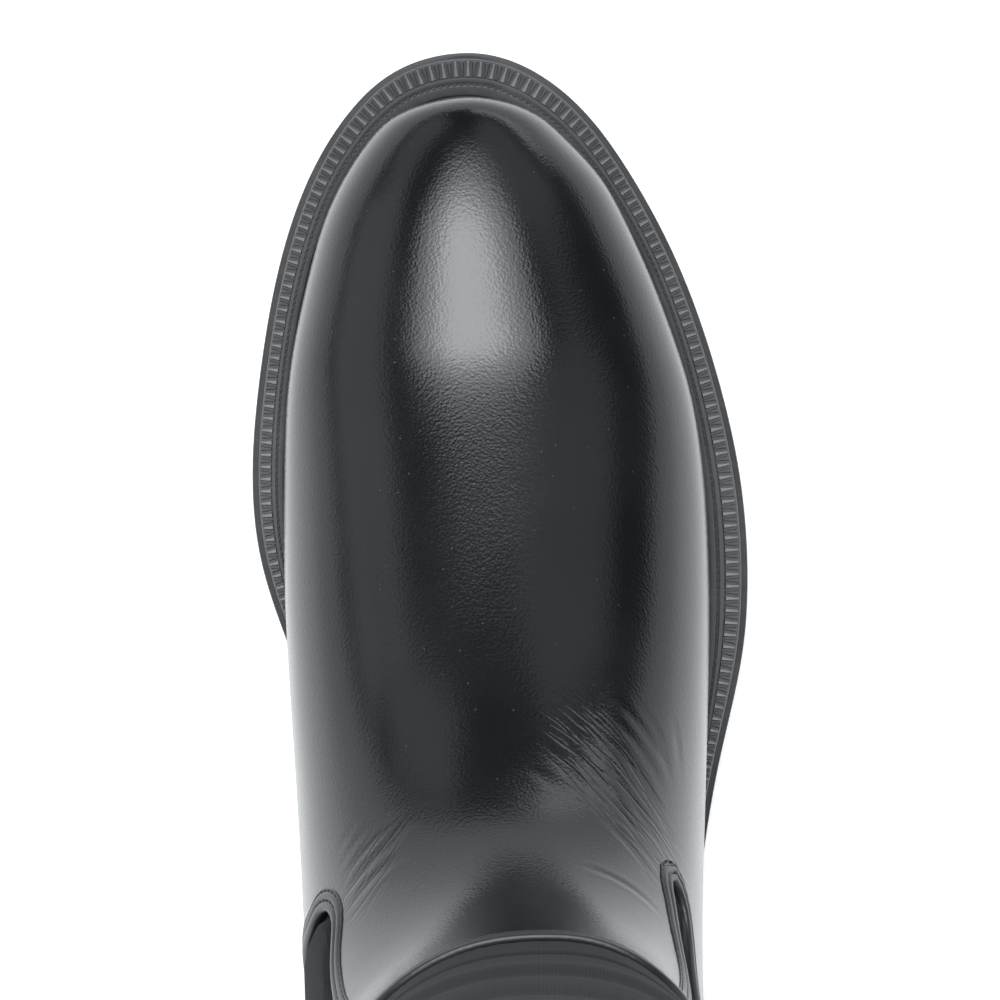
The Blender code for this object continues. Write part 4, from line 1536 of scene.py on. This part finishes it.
@dataclass
class LeatherFoot:
    """The leather foot: one wall drawn over the last, cut open for the gores and the leg."""

    last: Last
    tracer: LoopTracer
    wall: float = 1.8
    lower_steps: int = 18
    upper_steps: int = 54
    crease_steps: int = 40
    ridge_share: float = 0.4
    crease_reach: float = 6.0
    crease_fade: float = 0.7
    drop_from: float = 500.0
    side_split: float = 6.0
    side_overlap: float = 0.3
    cutter_reach: float = 90.0
    cutter_top: float = 320.0
    line_steps: int = 150
    binding_steps: int = 760
    crisp_edge: float = 0.8

    SPANS = (SpanRow(0, 5, 34), SpanRow(5, 10, 60), SpanRow(10, 17, 112), SpanRow(17, 22, 54))
    EDGE_PROFILE = (
        (4.20, 0.02), (4.18, 0.18), (4.05, 0.28), (3.90, 0.26), (3.65, 0.06), (3.40, 0.26), (3.10, 0.42),
        (2.60, 0.48), (2.25, 0.45), (2.00, 0.28), (1.75, 0.10), (1.50, 0.28), (1.25, 0.46), (0.80, 0.52),
        (0.30, 0.49), (-0.04, 0.34), (-0.22, 0.06), (-0.26, -0.40), (-0.22, -0.85), (-0.08, -1.05),
        (-0.04, -0.50), (-0.03, 0.02),
    )
    STITCH_LINES = ((3.65, 0.12), (1.75, 0.16))
    stitch: StitchRow = StitchRow(1.55, 0.50, 2.05)

    def build(self) -> None:
        """Model the wall, its bound edge and the edge's stitches, and dress them."""
        net = self.last.surface(self.SPANS, self.lower_steps, self.upper_steps)
        ground = self.ground(net)
        foot = net_piece("leather_foot", net)
        raise_skin(foot, self.crease_heights(points_of(foot) / MM, ground))
        apply(foot, "SOLIDIFY", thickness=self.wall * MM, offset=-1.0)
        for side in Side:
            cut(foot, self.above_top_line(side))
        smooth(foot)
        leather = LeatherFinish("foot_leather", wrinkles=FINE_WRINKLES)
        dress(foot, leather.material(), "upper")
        self.build_edge(ground)

    def ground(self, net: np.ndarray) -> BVHTree:
        """The leather's outer surface, for laying things on it, in millimetres."""
        rows, columns = net.shape[:2]
        number = np.arange(rows * columns).reshape(rows, columns)
        corners = np.stack([number[:-1, :-1], number[1:, :-1], number[1:, 1:], number[:-1, 1:]], -1)
        return BVHTree.FromPolygons(net.reshape(-1, 3).tolist(), corners.reshape(-1, 4).tolist())

    def crease_line(self, row: CreaseRow, ground: BVHTree) -> np.ndarray:
        """A crease's middle line, dropped from above onto the leather.

        Args:
            row: the crease in plan.
            ground: the leather's outer surface.

        Returns:
            Points along it.
        """
        share = np.linspace(0.0, 1.0, self.crease_steps)[:, None]
        start = np.array([row.from_x, row.from_station])
        end = np.array([row.to_x, row.to_station])
        side = np.array([end[1] - start[1], start[0] - end[0]]) / np.linalg.norm(end - start)
        plan = start + share * (end - start) + 4.0 * share * (1.0 - share) * row.bow * side
        points = []
        down = Vector((0.0, 0.0, -1.0))
        for x, station in plan:
            hit = ground.ray_cast(Vector((x, SOLE_LENGTH / 2.0 - station, self.drop_from)), down)
            if hit[0] is not None:
                points.append(hit[0])
        return np.array(points)

    def crease_heights(self, points: np.ndarray, ground: BVHTree) -> np.ndarray:
        """How far the creases press each point in, or lift it beside them, in millimetres."""
        heights = np.zeros(len(points))
        for row in LEATHER_CREASES:
            line = self.crease_line(row, ground)
            low, high = line.min(0) - self.crease_reach, line.max(0) + self.crease_reach
            near = np.nonzero(((points > low) & (points < high)).all(1))[0]
            gaps = np.linalg.norm(points[near, None, :] - line[None, :, :], axis=2)
            nearest = gaps.argmin(1)
            fade = np.sin(np.pi * (nearest + 0.5) / len(line)) ** self.crease_fade
            gap = gaps.min(1)
            trough = swell(gap, row.width) - self.ridge_share * swell(gap - 2.0 * row.width, row.width)
            heights[near] -= row.depth * fade * trough
        return heights

    def above_top_line(self, side: Side) -> bpy.types.Object:
        """Cutter for all that lies above the leather's top line on one side, its gore included."""
        line = top_line(side).at(np.linspace(0.0, 1.0, self.line_steps))
        roof = np.array([[line[-1, 0], self.cutter_top], [line[0, 0], self.cutter_top]])
        split, lap = self.side_split, self.side_overlap
        x_from, x_to = {Side.INNER: (-self.cutter_reach, split + lap),
                        Side.OUTER: (split - lap, self.cutter_reach)}[side]
        return prism("above_top_" + side.value, np.concatenate([line, roof]), x_from, x_to)

    def build_edge(self, ground: BVHTree) -> None:
        """Model the turned edge along the top line and its two rows of stitches."""
        loop = self.tracer.trace({side: top_line(side) for side in Side}, self.binding_steps)
        net = np.stack([self.laid(loop, ground, across, rise) for across, rise in self.EDGE_PROFILE], 1)
        edge = ring_piece("turned_edge", net)
        smooth(edge, self.crisp_edge)
        finish = LeatherFinish("edge_leather", (0.016, 0.0162, 0.0168), (0.024, 0.0244, 0.0248), 0.40)
        dress(edge, finish.material(), "edge_binding")
        thread = ThreadFinish("edge_thread", (0.010, 0.010, 0.011), (0.026, 0.026, 0.028), 0.62).material()
        for number, (across, rise) in enumerate(self.STITCH_LINES):
            row = SurfaceLoop(self.laid(loop, ground, across, rise), loop.normals)
            stitches = self.stitch.sew("edge_stitches_%d" % (number + 1), row)
            dress(stitches, thread)

    def laid(self, loop: SurfaceLoop, ground: BVHTree, across: float, rise: float) -> np.ndarray:
        """A line beside the top line that keeps to the leather's surface.

        Args:
            loop: the top line.
            ground: the leather's outer surface.
            across: distance from the top line, over the leather.
            rise: height over the leather.

        Returns:
            Points along it.
        """
        points = loop.points + across * loop.across()
        if across > 0.0:
            points = np.array([ground.find_nearest(Vector(point))[0] for point in points])
        return points + rise * loop.normals


LEG_FOLDS = [
    FoldRow(193.0, 0.6, 6.0),
    FoldRow(204.0, -0.7, 5.5),
    FoldRow(217.0, 0.2, 6.0),
    FoldRow(238.0, -1.2, 8.0),
]


@dataclass
class FabricLeg:
    """The stretch leg: the gore in each notch, soft rings over the ankle and a turned hem."""

    last: Last
    tracer: LoopTracer
    sink: float = 2.2
    puff: float = 1.8
    gore_puff: float = 0.7
    gore_top: float = 150.0
    gore_blend: float = 8.0
    puff_start: float = 0.4
    puff_reach: float = 3.0
    side_split: float = 6.0
    line_points: int = 300
    wall: float = 1.6
    lower_steps: int = 30
    upper_steps: int = 40
    ring_height: float = 171.0
    ring_rise: float = 0.12
    ring_groove: float = 0.7
    ring_half: float = 1.5
    hem_height: float = 383.0
    hem_rise: float = 0.35
    hem_below: float = 1.0
    hem_above: float = 0.8
    cutter_reach: float = 90.0
    cutter_bottom: float = -20.0
    loop_points: int = 900
    level_stations: Tuple[float, ...] = (100.0, 200.0, 300.0)
    stitch: StitchRow = StitchRow(1.9, 0.5, 2.6)

    SPANS = (SpanRow(12, 17, 46), SpanRow(17, 24, 118), SpanRow(24, 26, 40))

    def build(self) -> None:
        """Model the wall and its seams, and dress them."""
        net = self.last.surface(self.SPANS, self.lower_steps, self.upper_steps)
        leg = net_piece("fabric_leg", net, self.cloth_places(net))
        points = points_of(leg) / MM
        raise_skin(leg, self.wall_heights(points[:, 2], self.freedom(points)))
        apply(leg, "SOLIDIFY", thickness=self.wall * MM, offset=-1.0)
        cut(leg, self.below_foot())
        smooth(leg)
        dress(leg, FabricFinish("leg_fabric").material(), "shaft")
        thread = ThreadFinish("leg_thread", (0.012, 0.012, 0.014), (0.030, 0.030, 0.034), 0.8).material()
        for name, height in (("ring_stitches", self.ring_height), ("hem_stitches", self.hem_height)):
            dress(self.stitch.sew(name, self.level(height)), thread)

    def cloth_places(self, net: np.ndarray) -> np.ndarray:
        """Where each point lies on the flat cloth, in metres: round the leg, and up it."""
        middle = net.shape[0] * 3 // 4
        steps = np.linalg.norm(np.diff(net[middle], axis=0), axis=1)
        round_leg = np.concatenate([[0.0], np.cumsum(steps)])
        places = np.stack([np.broadcast_to(round_leg, net.shape[:2]), net[:, :, 2]], -1)
        return places * MM

    def freedom(self, points: np.ndarray) -> np.ndarray:
        """How far each point lies from the leather's edge in the side view, less than 0 under the leather.

        Args:
            points: places in boot coordinates, in millimetres.

        Returns:
            Distances in millimetres.
        """
        spots = np.column_stack([SOLE_LENGTH / 2.0 - points[:, 1], points[:, 2]])
        free = np.zeros(len(points))
        for side in Side:
            line = top_line(side).at(np.linspace(0.0, 1.0, self.line_points))
            along = np.gradient(line, axis=0)
            mine = (points[:, 0] < self.side_split) == (side is Side.INNER)
            gaps = spots[mine, None, :] - line[None, :, :]
            nearest = (gaps ** 2).sum(2).argmin(1)
            gap = gaps[np.arange(len(nearest)), nearest]
            way = along[nearest]
            over = np.sign(way[:, 0] * gap[:, 1] - way[:, 1] * gap[:, 0])
            free[mine] = over * np.linalg.norm(gap, axis=1)
        return free

    def wall_heights(self, height: np.ndarray, free: np.ndarray) -> np.ndarray:
        """How far the wall stands out from the last, in millimetres.

        Args:
            height: heights over the floor.
            free: distances from the leather's edge.

        Returns:
            One value for each place.
        """
        folds = sum(row.depth * swell(height - row.height, row.width) for row in LEG_FOLDS)
        gore = self.gore_puff * smooth_rise(self.gore_top - height, 0.0, self.gore_blend)
        puff = (self.puff + gore) * smooth_rise(free, self.puff_start, self.puff_reach)
        seam = self.ring_groove * swell(height - self.ring_height, self.ring_half)
        hem = self.hem_rise * smooth_rise(height, self.hem_height - self.hem_below,
                                          self.hem_height + self.hem_above)
        return folds + puff - seam + hem - self.sink

    def level(self, height: float) -> SurfaceLoop:
        """The line round the leg's outside at one height."""
        line = SideLine([(station, height) for station in self.level_stations])
        loop = self.tracer.trace({side: line for side in Side}, self.loop_points)
        out = float(self.wall_heights(np.array([height]), np.array([height]))[0]) + self.ring_rise
        return SurfaceLoop(loop.points + out * loop.normals, loop.normals)

    def below_foot(self) -> bpy.types.Object:
        """Cutter for all that lies below the leg's hidden lower edge."""
        floor = [(SHAFT_FOOT[-1][0], self.cutter_bottom), (SHAFT_FOOT[0][0], self.cutter_bottom)]
        return prism("below_leg", np.array(SHAFT_FOOT + floor), -self.cutter_reach, self.cutter_reach)


class LightRow(NamedTuple):
    """A soft light: where it stands and its width and height in metres, and its radiance."""

    name: str
    place: Tuple[float, float, float]
    size: Tuple[float, float]
    brightness: float
    shape: Shape = Shape.OBLONG
    aim: Tuple[float, float, float] = (0.0, 0.09, 0.05)


SOFT_LIGHTS = [
    LightRow("key", (-0.09, 0.45, 1.58), (0.75, 0.92), 5.2, Shape.ROUND),
    LightRow("key_glow", (-0.10, 0.54, 1.62), (1.58, 1.37), 2.9, Shape.ROUND),
    LightRow("outer_glow", (0.82, 1.35, 1.15), (1.45, 1.00), 0.55),
    LightRow("inner_box", (-1.7, -0.1, 0.85), (3.0, 1.4), 0.9),
    LightRow("inner_front_box", (-1.3, 1.8, 0.75), (1.3, 1.1), 0.7),
    LightRow("outer_front_box", (0.72, 1.80, 0.18), (1.45, 0.36), 2.4),
    LightRow("outer_back_box", (1.9, -1.3, 0.8), (1.8, 1.2), 1.4),
    LightRow("back_box", (0.0, -2.4, 1.1), (2.6, 1.2), 1.2, aim=(0.0, 0.0, 0.2)),
]


@dataclass
class Studio:
    """Pale floor, soft light and the camera straight above the foot."""

    camera_height: float = 1.0
    camera_station: float = 91.2
    focal_pixels: float = 4779.0
    frame_pixels: float = 1000.0
    sensor: float = 36.0
    floor_size: float = 14.0
    floor_color: Color = (0.86, 0.86, 0.86)
    floor_glow: float = 0.60
    glow_start: float = 0.15
    glow_end: float = 0.24
    dim_color: Color = (0.15, 0.15, 0.15)
    floor_roughness: float = 0.9
    light_tint: Color = (0.96, 1.0, 1.03)
    room_color: Color = (0.08, 0.083, 0.086)

    def build(self) -> None:
        """Set up everything round the boot."""
        self.build_floor()
        self.build_camera()
        for row in SOFT_LIGHTS:
            self.build_light(row)
        self.build_surroundings()
        bpy.context.scene.view_settings.view_transform = "Standard"

    def build_floor(self) -> None:
        """A wide pale floor under the sole, which glows as painted light near the boot and dims further
        out.
        """
        bpy.ops.object.select_all(action="DESELECT")
        bpy.ops.mesh.primitive_plane_add(size=self.floor_size)
        floor = named("floor")
        paint = Paint("floor_paper")
        paint.set(Base_Color=self.floor_color, Roughness=self.floor_roughness)
        # Painted light: the floor glows at full strength within glow_start of the middle, which washes out
        # the boot's shadow, and the glow fades to dim_color past glow_end.
        away = paint.node("ShaderNodeVectorMath", {"operation": "LENGTH"}, {0: paint.place()}, "Value")
        glow = paint.mix(paint.step(away, self.glow_start, self.glow_end), self.floor_color, self.dim_color)
        paint.set(Emission_Color=glow, Emission_Strength=self.floor_glow)
        floor.data.materials.append(paint.made)

    def build_camera(self) -> None:
        """A long lens that looks straight down, toe up."""
        camera = bpy.data.cameras.new("camera")
        camera.sensor_width = self.sensor
        camera.lens = self.focal_pixels * self.sensor / self.frame_pixels
        holder = bpy.data.objects.new("camera", camera)
        holder.location = (0.0, (SOLE_LENGTH / 2.0 - self.camera_station) * MM, self.camera_height)
        bpy.context.scene.collection.objects.link(holder)
        bpy.context.scene.camera = holder

    def build_light(self, row: LightRow) -> None:
        """A large soft light that the camera doesn't see.

        Args:
            row: the light.
        """
        light = bpy.data.lights.new(row.name, "AREA")
        light.shape = row.shape.value
        light.color = self.light_tint
        light.size, light.size_y = row.size
        light.energy = row.brightness * math.pi * row.size[0] * row.size[1]
        box = bpy.data.objects.new(row.name, light)
        box.location = row.place
        box.rotation_euler = (Vector(row.aim) - Vector(row.place)).to_track_quat("-Z", "Y").to_euler()
        box.visible_camera = False
        bpy.context.scene.collection.objects.link(box)

    def build_surroundings(self) -> None:
        """A dim room round the boot."""
        world = bpy.data.worlds.new("surroundings")
        bpy.context.scene.world = world
        world.use_nodes = True
        shade = world.node_tree.nodes["Background"]
        shade.inputs["Color"].default_value = (*self.room_color, 1.0)
        shade.inputs["Strength"].default_value = 1.0


def dress_insole() -> None:
    """Give the insole's own solid its finish, and report it."""
    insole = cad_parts["insole"]
    insole.data.materials.clear()
    insole.data.materials.append(SockFinish("insole_sock").material())
    LOG.info("insole: the solid itself")


def main() -> None:
    """Build every piece in order, then the studio."""
    logging.basicConfig(level=logging.INFO, format="%(message)s")
    plan = SolePlan()
    last = Last(plan)
    tracer = LoopTracer(last)
    SoleUnit(plan).build()
    WeltStrip(plan).build()
    LeatherFoot(last, tracer).build()
    FabricLeg(last, tracer).build()
    dress_insole()
    Studio().build()


if __name__ == "__main__":
    main()
